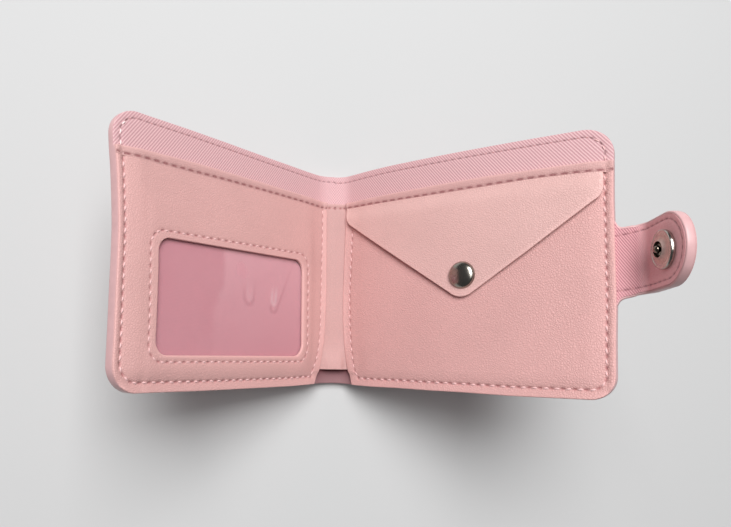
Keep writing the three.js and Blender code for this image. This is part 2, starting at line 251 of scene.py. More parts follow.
class Seam:
    """A line of stitches: holes a pitch apart, thread between them, and the soft groove that the thread pulls in. The
    holes, and faintly the groove, are also darkened in colour as painted shade.
    """

    def __init__(self, pts, pitch=3.74, closed=False, groove=0.16, pit=0.34, width=0.62, slit=0.75, half=0.34, hole_shade=0.85):
        self.closed = closed
        pts = np.asarray(pts, float)
        p = resample(pts, 0.2, closed)
        if closed:
            p = np.vstack([p, p[:1]])
        self.p = p
        self.t = np.concatenate([[0], np.cumsum(np.hypot(*np.diff(p, axis=0).T))])
        self.len = self.t[-1]
        self.n = max(1, int(round(self.len / pitch)))
        self.pitch = self.len / self.n
        self.groove, self.pit, self.width, self.slit, self.half, self.hole_shade = groove, pit, width, slit, half, hole_shade
        e = np.gradient(p, axis=0)
        e /= np.linalg.norm(e, axis=1)[:, None]
        self.tan = e

    def at(self, t, d=0.0):
        t = np.asarray(t, float)
        x = np.interp(t, self.t, self.p[:, 0])
        y = np.interp(t, self.t, self.p[:, 1])
        ex, ey = np.interp(t, self.t, self.tan[:, 0]), np.interp(t, self.t, self.tan[:, 1])
        return np.stack([x - ey * d, y + ex * d], -1)

    def lines(self):
        n = self.n * 8
        t = np.linspace(0, self.len, n + 1)
        if self.closed:
            t = t[:-1]
        return np.vstack([self.at(t, d) for d in (0, 0.26, -0.26, 0.6, -0.6, 1.15, -1.15)])

    def near(self, q):
        t, d = np.zeros(len(q)), np.full(len(q), 99.0)
        lo, hi = self.p.min(0) - 3, self.p.max(0) + 3
        ok = np.where(((q > lo) & (q < hi)).all(1))[0]
        for k in range(0, len(ok), 4000):
            i = ok[k : k + 4000]
            D = ((q[i][:, None] - self.p[None]) ** 2).sum(2)
            j = D.argmin(1)
            t[i], d[i] = self.t[j], np.sqrt(D[np.arange(len(i)), j])
        return t, d

    def press(self, q):
        """(depth, painted shade) at flat points q: how far the holes and groove press in, and how much their colour is
        darkened as painted shade.
        """
        t, d = self.near(q)
        # painted shade: each hole darkens the colour by a strength set per seam, the groove by a little
        h = np.abs((t / self.pitch + 0.5) % 1 - 0.5) * self.pitch
        hole = np.exp(-((h / self.slit) ** 4)) * np.exp(-((d / self.half) ** 2))
        g = np.exp(-((d / self.width) ** 2))
        return self.groove * g + self.pit * hole, np.clip(hole * self.hole_shade + 0.06 * g, 0, 1)


# ---------------------------------------------------------------------------------------------------------------------
# Mesh builders
def finish_mesh(name, co, faces, rest=None, extra=None, angle=48):
    me = bpy.data.meshes.new(name)
    me.from_pydata([tuple(c) for c in np.asarray(co) * 0.001], [], [tuple(int(i) for i in f) for f in faces])
    me.validate()
    me.update()
    ob = bpy.data.objects.new(name, me)
    bpy.context.scene.collection.objects.link(ob)
    if rest is not None and len(me.vertices) == len(rest):
        at = me.attributes.new("rest", "FLOAT_VECTOR", "POINT")
        at.data.foreach_set("vector", np.asarray(rest, np.float32).ravel())
    for k, v in (extra or {}).items():
        at = me.attributes.new(k, "FLOAT", "POINT")
        at.data.foreach_set("value", np.asarray(v, np.float32))
    me.polygons.foreach_set("use_smooth", [True] * len(me.polygons))
    me.set_sharp_from_angle(angle=math.radians(angle))
    return ob


def triangulate(pts, edges, holes):
    v, e, f, ov, _, _ = delaunay_2d_cdt([Vector((float(a), float(b))) for a, b in pts], edges, [], 1, 1e-5)
    V = np.array([[p[0], p[1]] for p in v])
    F = np.array([t for t in f if len(t) == 3], int)
    src = np.array([o[0] if len(o) else -1 for o in ov])
    if holes:
        c = V[F].mean(1)
        keep = np.ones(len(F), bool)
        for h in holes:
            keep &= ~inside(c, h)
        F = F[keep]
    a, b, c = V[F[:, 0]], V[F[:, 1]], V[F[:, 2]]
    ar = (b[:, 0] - a[:, 0]) * (c[:, 1] - a[:, 1]) - (b[:, 1] - a[:, 1]) * (c[:, 0] - a[:, 0])
    F = F[np.abs(ar) > 1e-9]
    ar = ar[np.abs(ar) > 1e-9]
    F[ar < 0] = F[ar < 0][:, ::-1]
    return V, F, src


def sheet(name, fmap, outline, front, back, open0=False, holes=(), r=0.4, rb=0.15, seams=(), h=1.4, hb=4.0, face=1, fine=None, bump=None, shade=None):
    """A sheet with a real thickness. outline is its edge (open0: an open path whose ends lie on the middle line s = 0),
    front and back give w at a flat point, r rounds the front edge, and seams press into the front."""
    loops = [(outline, not open0)] + [(hh, True) for hh in holes]
    th = [0, 30, 60, 90] if r > 0.12 else [90]
    pts, drop, edges, walls, rings0 = [], [], [], [], []
    mid = []
    for k, (p, closed) in enumerate(loops):
        prev = None
        for a in th:
            din = r * (1 - math.cos(math.radians(a))) if r > 0.12 else 0
            dr = r * (1 - math.sin(math.radians(a))) if r > 0.12 else 0
            ring = offset(p, din, closed) if din > 0 else p.copy()
            if not closed:
                ring[0, 0] = ring[-1, 0] = 0
            i0 = len(pts)
            pts += list(ring)
            drop += [dr] * len(ring)
            ids = list(range(i0, i0 + len(ring)))
            for i in range(len(ring) - 1):
                edges.append((ids[i], ids[i + 1]))
            if closed:
                edges.append((ids[-1], ids[0]))
            if a == th[0]:
                rings0.append(ids)
            if not closed:
                mid += [ids[0], ids[-1]]
    closed0 = np.array([pts[i] for i in rings0[0]])
    if open0:
        ys = sorted(set(mid), key=lambda i: pts[i][1])
        lo, hi = pts[ys[len(ys) // 2 - 1]][1], pts[ys[len(ys) // 2]][1]
        n = max(2, int((hi - lo) / h))
        new = []
        for yv in np.linspace(lo, hi, n + 1)[1:-1]:
            new.append(len(pts))
            pts.append(np.array([0.0, yv]))
            drop.append(0)
        line = ys[: len(ys) // 2] + new + ys[len(ys) // 2 :]
        for a, b in zip(line[:-1], line[1:]):
            edges.append((a, b))
        bound = rings0[0] + line[::-1][1:-1]
    else:
        bound = rings0[0]
    bounds = [bound] + rings0[1:]
    nb = len(pts)
    extra = [s.lines() for s in seams]
    if fine is not None:
        extra.append(fine)
    feat = np.vstack(extra) if extra else np.zeros((0, 2))
    hp = [np.array([pts[i] for i in b]) for b in bounds]

    def clear(q, gap, tree):
        return np.array([tree.find(Vector((a, b, 0)))[2] > gap for a, b in q], bool) if len(q) else np.zeros(0, bool)

    def within(q):
        ok = inside(q, hp[0])
        for z in hp[1:]:
            ok &= ~inside(q, z)
        return ok

    tree = kdtree.KDTree(nb)
    for i, p in enumerate(pts):
        tree.insert(Vector((p[0], p[1], 0)), i)
    tree.balance()
    if len(feat):
        feat = feat[within(feat)]
        feat = feat[clear(feat, 0.22, tree)]
        # drop points of crossing lines that fall on each other
        _, ui = np.unique(np.round(feat / 0.16).astype(int), axis=0, return_index=True)
        feat = feat[np.sort(ui)]
    tree2 = kdtree.KDTree(nb + len(feat))
    for i, p in enumerate(list(pts) + list(feat)):
        tree2.insert(Vector((p[0], p[1], 0)), i)
    tree2.balance()
    mn, mx = hp[0].min(0), hp[0].max(0)

    def grid(step, tr, gap):
        gx = np.arange(mn[0] + step * 0.5, mx[0], step)
        gy = np.arange(mn[1] + step * 0.5, mx[1], step)
        g = np.stack(np.meshgrid(gx, gy, indexing="ij"), -1).reshape(-1, 2)
        g[:, 0] += 0.25 * step * ((np.round((g[:, 1] - mn[1]) / step - 0.5).astype(int) % 2) - 0.5)
        g = g[within(g)]
        return g[clear(g, gap, tr)]

    g = grid(h, tree2, h * 0.55)
    allp = np.vstack([np.array(pts), feat, g])
    V, F, src = triangulate(allp, edges, hp[1:])
    dr = np.where((src >= 0) & (src < nb), np.array(drop + [0])[np.clip(src, 0, nb)], 0.0)
    # painted shade: the seams' holes and the shade function darken the colour through a per-vertex attribute
    painted_shade, depth = np.zeros(len(V)), np.zeros(len(V))
    for s in seams:
        a, b = s.press(V)
        depth = np.maximum(depth, a)
        painted_shade = np.maximum(painted_shade, b)
    # painted shade: shade(s, y) darkens the colour where shade falls
    if shade is not None:
        painted_shade = np.maximum(painted_shade, shade(V[:, 0], V[:, 1]))
    wf = front(V[:, 0], V[:, 1]) - face * (dr + depth * (dr == 0))
    if bump is not None:
        wf = wf + face * bump(V[:, 0], V[:, 1])
    # back: the same edge, fewer points inside
    bp = [i for b in bounds for i in b]
    pos = {i: k for k, i in enumerate(bp)}
    be = []
    for b in bounds:
        for i in range(len(b)):
            be.append((pos[b[i]], pos[b[(i + 1) % len(b)]]))
    treeb = kdtree.KDTree(len(bp))
    for k, i in enumerate(bp):
        treeb.insert(Vector((pts[i][0], pts[i][1], 0)), k)
    treeb.balance()
    gb = grid(hb, treeb, hb * 0.5)
    Vb, Fb, srcb = triangulate(np.vstack([np.array([pts[i] for i in bp]), gb]), be, hp[1:])
    wb = back(Vb[:, 0], Vb[:, 1])
    on = (srcb >= 0) & (srcb < len(bp))
    # front vertex of every boundary point
    front_of = {int(s_): k for k, s_ in enumerate(src) if s_ >= 0}
    back_of = {int(s_): k for k, s_ in enumerate(srcb) if s_ >= 0}
    n0 = len(V)
    co = np.vstack([fmap(V[:, 0], V[:, 1], wf), fmap(Vb[:, 0], Vb[:, 1], wb)])
    rest = np.vstack([np.stack([V[:, 0], V[:, 1], wf], -1), np.stack([Vb[:, 0], Vb[:, 1], wb], -1)])
    faces = [tuple(t) for t in F] + [tuple(n0 + t[::-1]) for t in Fb]
    for b in bounds:
        for i in range(len(b)):
            p0, p1 = b[i], b[(i + 1) % len(b)]
            if p0 not in front_of or p1 not in front_of:
                continue
            a, c = front_of[p0], front_of[p1]
            d, e = back_of[pos[p0]] + n0, back_of[pos[p1]] + n0
            if len({a, c, d, e}) == 4:
                faces.append((c, a, d, e))
    flip = fmap.flip != (face < 0)
    if flip:
        faces = [f[::-1] for f in faces]
    # painted highlight: the rounded front edge is marked so the leather is lightened there, standing in for the light
    # the rim catches and partly for the lighter edge finish
    lip = ((dr > 0) | ((src >= 0) & (src < nb) & (r > 0.12))) & ~((np.abs(V[:, 0]) < 1e-6) & open0)
    return finish_mesh(name, co, faces, rest, {"painted_shade": np.concatenate([painted_shade, np.zeros(len(Vb))]), "lip": np.concatenate([lip * 1.0, on * 0.0])})


def tube(rings, cap=True):
    """Vertices and faces of a lofted closed section."""
    n = len(rings[0])
    co = np.vstack(rings)
    faces = []
    for k in range(len(rings) - 1):
        for i in range(n):
            j = (i + 1) % n
            faces.append((k * n + i, k * n + j, (k + 1) * n + j, (k + 1) * n + i))
    if cap:
        faces.append(tuple(range(n))[::-1])
        faces.append(tuple((len(rings) - 1) * n + i for i in range(n)))
    return co, faces


def threads(name, fmap, jobs, face=1, shift=0.0):
    """The visible thread of some seams. Each job is (seam, height function, thickness, length share, slant in mm, rise)."""
    co, faces, rest = [], [], []
    for seam, hgt, rad, share, slant, rise in jobs:
        for k in range(seam.n):
            t0, t1 = seam.pitch * (k + 0.5 - share / 2 + shift), seam.pitch * (k + 0.5 + share / 2 + shift)
            j = rng.normal(0, 0.05, 4)
            u = np.linspace(0, 1, 9)
            tt = t0 + (t1 - t0) * u + j[0]
            dd = slant * (u - 0.5) * (1 + j[1]) + 0.4 * j[2]
            c = seam.at(np.clip(tt, 0, seam.len), 0)
            e = seam.at(np.clip(tt, 0, seam.len), 1) - c
            c = c + e * dd[:, None]
            tan = np.gradient(c, axis=0)
            tan /= np.linalg.norm(tan, axis=1)[:, None]
            nor = np.stack([-tan[:, 1], tan[:, 0]], -1)
            w0 = hgt(c[:, 0], c[:, 1]) + face * (rise * np.sin(pi * u) ** 0.7 - rad * 0.55 - (1 - np.sin(pi * u)) * 0.30)
            rr = rad * (0.55 + 0.45 * np.sin(pi * np.clip(u, 0.04, 0.96)) ** 0.6) * (1 + j[3])
            rings, rr_rest = [], []
            for i in range(9):
                a = np.linspace(0, 2 * pi, 9)[:-1]
                q = c[i] + nor[i] * (rr[i] * np.cos(a))[:, None]
                w = w0[i] + rr[i] * 0.9 * np.sin(a)
                rings.append(fmap(q[:, 0], q[:, 1], w))
                rr_rest.append(np.stack([np.full(8, u[i] * 2.4 + k * 7.1), np.cos(a) * rr[i], np.sin(a) * rr[i]], -1))
            v, f = tube(rings)
            base = len(co) and sum(len(x) for x in co)
            if fmap.flip:
                f = [tuple(x[::-1]) for x in f]
            faces += [tuple(base + x for x in ff) for ff in f]
            co.append(v)
            rest.append(np.vstack(rr_rest))
    return finish_mesh(name, np.vstack(co), faces, np.vstack(rest), angle=80)


def sweep(name, fmap, path, section, closed_path=False):
    """A closed section swept along a flat path: section(i) gives (outward, w) points at path point i."""
    nrm = normals(path, closed_path)
    rings, rest = [], []
    for i in range(len(path)):
        s = np.asarray(section(i), float)
        q = path[i] - nrm[i] * s[:, :1]
        rings.append(fmap(q[:, 0], q[:, 1], s[:, 1]))
        rest.append(np.stack([q[:, 0], q[:, 1], s[:, 1]], -1))
    v, f = tube(rings)
    if not fmap.flip:
        f = [x[::-1] for x in f]
    return finish_mesh(name, v, f, np.vstack(rest), angle=60)


def lathe(name, origin, axis, profile, n=72, xdir=(0, 1, 0), angle=35):
    """A turned part: profile is (radius, height) points from the axis outwards and back."""
    z = np.array(axis, float)
    z /= np.linalg.norm(z)
    x = np.array(xdir, float)
    x -= z * (x @ z)
    x /= np.linalg.norm(x)
    y = np.cross(z, x)
    prof = np.asarray(profile, float)
    co, rest, idx = [], [], []
    for r_, h_ in prof:
        if r_ < 1e-6:
            idx.append([len(co)])
            co.append(np.array(origin) + z * h_)
            rest.append((0, 0, h_))
        else:
            row = []
            for k in range(n):
                a = 2 * pi * k / n
                row.append(len(co))
                co.append(np.array(origin) + (x * math.cos(a) + y * math.sin(a)) * r_ + z * h_)
                rest.append((r_ * math.cos(a), r_ * math.sin(a), h_))
            idx.append(row)
    faces = []
    m = len(prof)
    for i in range(m):
        a, b = idx[i], idx[(i + 1) % m]
        if len(a) == 1 and len(b) == 1:
            continue
        for k in range(n):
            l = (k + 1) % n
            if len(a) == 1:
                faces.append((a[0], b[l], b[k]))
            elif len(b) == 1:
                faces.append((a[k], a[l], b[0]))
            else:
                faces.append((a[k], a[l], b[l], b[k]))
    ob = finish_mesh(name, np.array(co), faces, np.array(rest), angle=angle)
    import bmesh

    bm = bmesh.new()
    bm.from_mesh(ob.data)
    bmesh.ops.recalc_face_normals(bm, faces=bm.faces)
    bm.to_mesh(ob.data)
    bm.free()
    return ob


def arc(cx, cy, r_, a0, a1, n):
    return [(cx + r_ * math.cos(math.radians(a)), cy + r_ * math.sin(math.radians(a))) for a in np.linspace(a0, a1, n)]


# ---------------------------------------------------------------------------------------------------------------------
# Materials
def material(name):
    m = bpy.data.materials.new(name)
    m.use_nodes = True
    nt = m.node_tree
    return m, nt, nt.nodes["Principled BSDF"]


def node(nt, kind, **kw):
    n = nt.nodes.new(kind)
    for k, v in kw.items():
        if k in n.inputs and not hasattr(n, k):
            n.inputs[k].default_value = v
        elif hasattr(n, k):
            setattr(n, k, v)
        else:
            n.inputs[k].default_value = v
    return n


def setin(n, **kw):
    for k, v in kw.items():
        n.inputs[k.replace("_", " ")].default_value = v


def rest_vec(nt):
    return node(nt, "ShaderNodeAttribute", attribute_name="rest").outputs["Vector"]


def attr(nt, name):
    return node(nt, "ShaderNodeAttribute", attribute_name=name).outputs["Fac"]


def math_node(nt, op, a, b=None, c=None):
    n = node(nt, "ShaderNodeMath", operation=op)
    for i, v in enumerate((a, b, c)):
        if v is None:
            continue
        if isinstance(v, (int, float)):
            n.inputs[i].default_value = v
        else:
            nt.links.new(v, n.inputs[i])
    return n.outputs[0]


def mix_col(nt, fac, a, b, mode="MIX"):
    n = node(nt, "ShaderNodeMix", data_type="RGBA", blend_type=mode)
    for i, v in ((0, fac), (6, a), (7, b)):
        if isinstance(v, (int, float)):
            n.inputs[i].default_value = v
        elif isinstance(v, tuple):
            n.inputs[i].default_value = v if len(v) == 4 else (*v, 1)
        else:
            nt.links.new(v, n.inputs[i])
    return n.outputs[2]


def ramp(nt, fac, stops):
    n = node(nt, "ShaderNodeMapRange")
    nt.links.new(fac, n.inputs[0])
    for i, v in enumerate(stops):
        n.inputs[1 + i].default_value = v
    return n.outputs[0]


def tex_noise(nt, vec, scale, detail=2.0, rough=0.5, dist=0.0):
    n = node(nt, "ShaderNodeTexNoise")
    nt.links.new(vec, n.inputs["Vector"])
    setin(n, Scale=scale, Detail=detail, Roughness=rough, Distortion=dist)
    return n.outputs["Fac"]


def tex_voronoi(nt, vec, scale, feature="F1", rand=1.0):
    n = node(nt, "ShaderNodeTexVoronoi", feature=feature)
    nt.links.new(vec, n.inputs["Vector"])
    setin(n, Scale=scale, Randomness=rand)
    return n.outputs["Distance"]


def bumped(nt, bs, height, strength, dist_mm):
    n = node(nt, "ShaderNodeBump")
    n.inputs["Strength"].default_value = strength
    n.inputs["Distance"].default_value = dist_mm * 0.001
    nt.links.new(height, n.inputs["Height"])
    nt.links.new(n.outputs["Normal"], bs.inputs["Normal"])


def leather(name, base, painted_shade, rough=0.52, grain=1.25, depth=0.155, sheen=0.06):
    """Fine pebbled leather: small raised cells with creases between them and a soft mottling. The creases are darkened
    in colour as painted shade, and the marked stitch holes, slits and shaded places take the dark colour as painted
    shade.
    """
    m, nt, bs = material(name)
    v = rest_vec(nt)
    cell = tex_voronoi(nt, v, grain, "DISTANCE_TO_EDGE")
    crease = ramp(nt, cell, (0.0, 0.22, 0.0, 1.0))
    fine = tex_noise(nt, v, 1.9, 3.0, 0.6)
    broad = tex_noise(nt, v, 0.045, 3.0, 0.55)
    hgt = math_node(nt, "ADD", math_node(nt, "MULTIPLY", crease, 0.6), math_node(nt, "MULTIPLY", fine, 0.55))
    light = tuple(min(1.0, c * 1.035) for c in base)
    shade = tuple(c * 0.955 for c in base)
    c1 = mix_col(nt, ramp(nt, broad, (0.32, 0.68, 0.0, 1.0)), shade, light)
    # painted shade: the creases between the grain's cells are darkened
    c2 = mix_col(nt, math_node(nt, "MULTIPLY", math_node(nt, "SUBTRACT", 1.0, crease), 0.55), c1, tuple(c * 0.83 for c in base))
    c3 = mix_col(nt, math_node(nt, "MULTIPLY", ramp(nt, fine, (0.35, 0.7, 0.0, 1.0)), 0.30), c2, tuple(min(1, c * 1.12) for c in base))
    # painted highlight along the marked rounded edges, partly the lighter edge finish
    c3 = mix_col(nt, math_node(nt, "MULTIPLY", attr(nt, "lip"), 0.55), c3, tuple(min(1, c * 1.16 + 0.02) for c in base))
    # painted shade: marked holes, slits and shaded places take the dark colour
    c4 = mix_col(nt, attr(nt, "painted_shade"), c3, painted_shade)
    nt.links.new(c4, bs.inputs["Base Color"])
    nt.links.new(ramp(nt, fine, (0.3, 0.7, rough - 0.07, rough + 0.08)), bs.inputs["Roughness"])
    bs.inputs["Specular IOR Level"].default_value = 0.32
    bs.inputs["Sheen Weight"].default_value = sheen
    bs.inputs["Sheen Roughness"].default_value = 0.5
    bumped(nt, bs, hgt, 0.75, depth)
    return m


def painted_edge(name, base):
    m, nt, bs = material(name)
    v = rest_vec(nt)
    n1 = tex_noise(nt, v, 0.35, 3.0, 0.5)
    n2 = tex_noise(nt, v, 2.2, 2.0, 0.5)
    c = mix_col(nt, ramp(nt, n1, (0.3, 0.7, 0.0, 1.0)), tuple(x * 0.95 for x in base), tuple(min(1, x * 1.04) for x in base))
    nt.links.new(c, bs.inputs["Base Color"])
    nt.links.new(ramp(nt, n2, (0.3, 0.7, 0.32, 0.46)), bs.inputs["Roughness"])
    bs.inputs["Specular IOR Level"].default_value = 0.45
    bumped(nt, bs, n2, 0.25, 0.05)
    return m


def twill(name, lit, low, pitch=0.90, angle=51.0, cross=True, depth=0.12, fade=None):
    """Diagonal ribbed lining cloth. The ribs run the same way from the spine on both covers and cross near it."""
    m, nt, bs = material(name)
    v = rest_vec(nt)
    sep = node(nt, "ShaderNodeSeparateXYZ")
    nt.links.new(v, sep.inputs[0])
    s, y = sep.outputs[0], sep.outputs[1]
    ca, sa = math.cos(math.radians(angle)) / pitch, math.sin(math.radians(angle)) / pitch
    wob = math_node(nt, "MULTIPLY", tex_noise(nt, v, 0.5, 2.0, 0.5), 0.22)

    def rib(sign):
        k = math_node(nt, "ADD", math_node(nt, "MULTIPLY", s, sa * sign), math_node(nt, "MULTIPLY", y, ca))
        k = math_node(nt, "ADD", k, wob)
        w = math_node(nt, "SINE", math_node(nt, "MULTIPLY", k, 2 * pi))
        return math_node(nt, "ADD", math_node(nt, "MULTIPLY", w, 0.5), 0.5)

    # thread along the rib: short floats
    k2 = math_node(nt, "ADD", math_node(nt, "MULTIPLY", s, ca * 2.3), math_node(nt, "MULTIPLY", y, -sa * 2.3))
    fl = math_node(nt, "ADD", math_node(nt, "MULTIPLY", math_node(nt, "SINE", math_node(nt, "MULTIPLY", k2, 2 * pi)), 0.5), 0.5)
    main = rib(1)
    if cross:
        near = ramp(nt, s, (4.0, 24.0, 0.62, 0.0))
        other = rib(-1)
        hgt = math_node(nt, "ADD", math_node(nt, "MULTIPLY", main, math_node(nt, "SUBTRACT", 1.0, near)), math_node(nt, "MULTIPLY", other, near))
    else:
        hgt = main
    hgt = math_node(nt, "ADD", math_node(nt, "MULTIPLY", hgt, 0.80), math_node(nt, "MULTIPLY", fl, 0.20))
    if fade:
        calm = ramp(nt, s, (fade[0], fade[1], 0.0, 0.72))
        weave = tex_noise(nt, v, 1.9, 2.0, 0.6)
        hgt = math_node(nt, "ADD", math_node(nt, "MULTIPLY", hgt, math_node(nt, "SUBTRACT", 1.0, calm)), math_node(nt, "MULTIPLY", weave, calm))
    broad = tex_noise(nt, v, 0.06, 2.0, 0.5)
    fine = tex_noise(nt, v, 5.0, 2.0, 0.6)
    c = mix_col(nt, ramp(nt, hgt, (0.18, 0.80, 0.0, 1.0)), low, lit)
    # the calm weave towards the strap's end has its own colour, lightened further to stand in for light on the shaded
    # curl: partly painted light
    if fade:
        c = mix_col(nt, calm, c, mix_col(nt, weave, (0.950, 0.430, 0.455), (1.0, 0.650, 0.655)))
    c = mix_col(nt, math_node(nt, "MULTIPLY", broad, 0.10), c, low)
    c = mix_col(nt, math_node(nt, "MULTIPLY", ramp(nt, fine, (0.4, 0.7, 0.0, 1.0)), 0.20), c, tuple(min(1, x * 1.08) for x in lit))
    # painted shade: marked stitch holes and the lining under the centre strip's end go near-black; the strap's lining
    # takes half its low colour
    c = mix_col(nt, attr(nt, "painted_shade"), c, (0.080, 0.008, 0.014) if cross else tuple(x * 0.5 for x in low))
    nt.links.new(c, bs.inputs["Base Color"])
    nt.links.new(ramp(nt, hgt, (0.0, 1.0, 0.72, 0.52)), bs.inputs["Roughness"])
    bs.inputs["Specular IOR Level"].default_value = 0.25
    bs.inputs["Sheen Weight"].default_value = 0.12
    bs.inputs["Sheen Roughness"].default_value = 0.4
    bumped(nt, bs, hgt, 0.8, depth)
    return m


def dotted(name, lit, low):
    """Fine plain-weave cloth behind the window."""
    m, nt, bs = material(name)
    v = rest_vec(nt)
    sep = node(nt, "ShaderNodeSeparateXYZ")
    nt.links.new(v, sep.inputs[0])
    a = math_node(nt, "SINE", math_node(nt, "MULTIPLY", math_node(nt, "ADD", sep.outputs[0], sep.outputs[1]), 2 * pi / 0.95))
    b = math_node(nt, "SINE", math_node(nt, "MULTIPLY", math_node(nt, "SUBTRACT", sep.outputs[0], sep.outputs[1]), 2 * pi / 0.95))
    hgt = math_node(nt, "ADD", math_node(nt, "MULTIPLY", math_node(nt, "MULTIPLY", a, b), 0.5), 0.5)
    broad = tex_noise(nt, v, 0.05, 2.0, 0.5)
    c = mix_col(nt, hgt, low, lit)
    c = mix_col(nt, math_node(nt, "MULTIPLY", broad, 0.25), c, low)
    nt.links.new(c, bs.inputs["Base Color"])
    nt.links.new(ramp(nt, hgt, (0.0, 1.0, 0.75, 0.6)), bs.inputs["Roughness"])
    bs.inputs["Sheen Weight"].default_value = 0.1
    bumped(nt, bs, hgt, 0.5, 0.06)
    return m


def thread_mat(name, base):
    m, nt, bs = material(name)
    v = rest_vec(nt)
    sep = node(nt, "ShaderNodeSeparateXYZ")
    nt.links.new(v, sep.inputs[0])
    k = math_node(nt, "ADD", math_node(nt, "MULTIPLY", sep.outputs[0], 2.2), math_node(nt, "MULTIPLY", sep.outputs[1], 2.6))
    tw = math_node(nt, "ADD", math_node(nt, "MULTIPLY", math_node(nt, "SINE", math_node(nt, "MULTIPLY", k, 2 * pi)), 0.5), 0.5)
    n1 = tex_noise(nt, v, 0.4, 2.0, 0.5)
    c = mix_col(nt, math_node(nt, "MULTIPLY", tw, 0.5), base, tuple(x * 0.78 for x in base))
    c = mix_col(nt, math_node(nt, "MULTIPLY", n1, 0.25), c, tuple(min(1, x * 1.1) for x in base))
    nt.links.new(c, bs.inputs["Base Color"])
    nt.links.new(ramp(nt, tw, (0.0, 1.0, 0.42, 0.6)), bs.inputs["Roughness"])
    bs.inputs["Sheen Weight"].default_value = 0.2
    bumped(nt, bs, tw, 0.6, 0.06)
    return m


def metal(name, base, rough=0.14, worn=0.08):
    m, nt, bs = material(name)
    v = rest_vec(nt)
    n1 = tex_noise(nt, v, 0.9, 4.0, 0.6)
    n2 = tex_noise(nt, v, 6.0, 3.0, 0.6)
    c = mix_col(nt, ramp(nt, n1, (0.35, 0.65, 0.0, 1.0)), tuple(x * 0.9 for x in base), tuple(min(1, x * 1.08) for x in base))
    nt.links.new(c, bs.inputs["Base Color"])
    nt.links.new(ramp(nt, n2, (0.3, 0.7, rough, rough + worn)), bs.inputs["Roughness"])
    bs.inputs["Metallic"].default_value = 1.0
    bumped(nt, bs, n2, 0.06, 0.02)
    return m


def foam(name, base):
    m, nt, bs = material(name)
    v = rest_vec(nt)
    n1 = tex_voronoi(nt, v, 1.6)
    c = mix_col(nt, ramp(nt, n1, (0.0, 0.6, 0.0, 1.0)), tuple(x * 0.8 for x in base), base)
    nt.links.new(c, bs.inputs["Base Color"])
    nt.links.new(ramp(nt, n1, (0.0, 0.6, 0.95, 0.8)), bs.inputs["Roughness"])
    bumped(nt, bs, n1, 0.6, 0.2)
    return m


def film_mat(name):
    m, nt, bs = material(name)
    v = rest_vec(nt)
    n1 = tex_noise(nt, v, 0.05, 2.0, 0.5)
    sep = node(nt, "ShaderNodeSeparateXYZ")
    nt.links.new(v, sep.inputs[0])
    s, y = sep.outputs[0], sep.outputs[1]
    # where the slack film lifts off the cloth it is painted lighter, more so towards the top, and soft blotches lighten
    # it further: painted reflection. The soft folds in it are drawn as dark lines of painted shade and white lines of
    # painted highlight
    k = math_node(nt, "ADD", s, math_node(nt, "MULTIPLY", ramp(nt, y, (-19.0, -9.0, 0.0, 1.0)), 5.5))
    k = math_node(nt, "ADD", k, math_node(nt, "MULTIPLY", tex_noise(nt, v, 0.22, 2.0, 0.5), 2.4))
    near = ramp(nt, k, (72.4, 75.2, 1.0, 0.0))
    c = mix_col(nt, near, (0.63, 0.31, 0.36), mix_col(nt, ramp(nt, y, (-36.0, 2.0, 0.0, 1.0)), (0.66, 0.34, 0.39), (0.88, 0.62, 0.66)))
    c = mix_col(nt, math_node(nt, "MULTIPLY", n1, 0.3), c, (0.95, 0.72, 0.76))

    def fold(s0, y0, a, b, shear, top, soft, wide, lone=False):
        up = math_node(nt, "MAXIMUM", math_node(nt, "SUBTRACT", y, y0), 0.0)
        u = math_node(nt, "MULTIPLY", math_node(nt, "ADD", math_node(nt, "SUBTRACT", s, s0), math_node(nt, "MULTIPLY", up, shear)), 1 / a)
        w = math_node(nt, "MULTIPLY", math_node(nt, "MINIMUM", math_node(nt, "SUBTRACT", y, y0), 0.0), 1 / b)
        r_ = math_node(nt, "SQRT", math_node(nt, "ADD", math_node(nt, "MULTIPLY", u, u), math_node(nt, "MULTIPLY", w, w)))
        d = math_node(nt, "ABSOLUTE", math_node(nt, "SUBTRACT", r_, 1.0))
        line = math_node(nt, "MULTIPLY", ramp(nt, d, (0.0, wide, 1.0, 0.0)), ramp(nt, y, (top - soft, top, 1.0, 0.0)))
        if lone:
            line = math_node(nt, "MULTIPLY", line, math_node(nt, "SUBTRACT", 1.0, math_node(nt, "MULTIPLY", ramp(nt, u, (0.0, 0.3, 0.0, 1.0)), ramp(nt, y, (y0, y0 + 3.0, 0.0, 1.0)))))
        return line

    # painted shade along the folds
    for args, amt in (((53.7, -12.2, 2.7, 2.9, 0.12, -5.0, 9.0, 0.45), 0.40), ((39.2, -15.6, 2.0, 2.0, 0.50, 8.0, 20.0, 0.5, True), 0.50)):
        c = mix_col(nt, math_node(nt, "MULTIPLY", fold(*args), amt), c, (0.16, 0.03, 0.05))
    # painted highlights on the folds
    for args, amt in (((53.4, -10.5, 1.2, 2.0, 0.05, -4.0, 8.0, 1.0), 0.28), ((39.5, -12.5, 1.1, 1.6, 0.12, -6.5, 4.0, 1.0), 0.9)):
        c = mix_col(nt, math_node(nt, "MULTIPLY", fold(*args), amt), c, (1.0, 1.0, 1.0))
    nt.links.new(c, bs.inputs["Base Color"])
    nt.links.new(ramp(nt, n1, (0.3, 0.7, 0.05, 0.16)), bs.inputs["Roughness"])
    bs.inputs["Alpha"].default_value = 0.15
    bs.inputs["Specular IOR Level"].default_value = 1.0
    bs.inputs["IOR"].default_value = 1.55
    bumped(nt, bs, n1, 0.25, 0.3)
    return m


BASE = (0.685, 0.390, 0.371)
M_LEATHER = leather("pink_leather", BASE, (0.40, 0.150, 0.155))
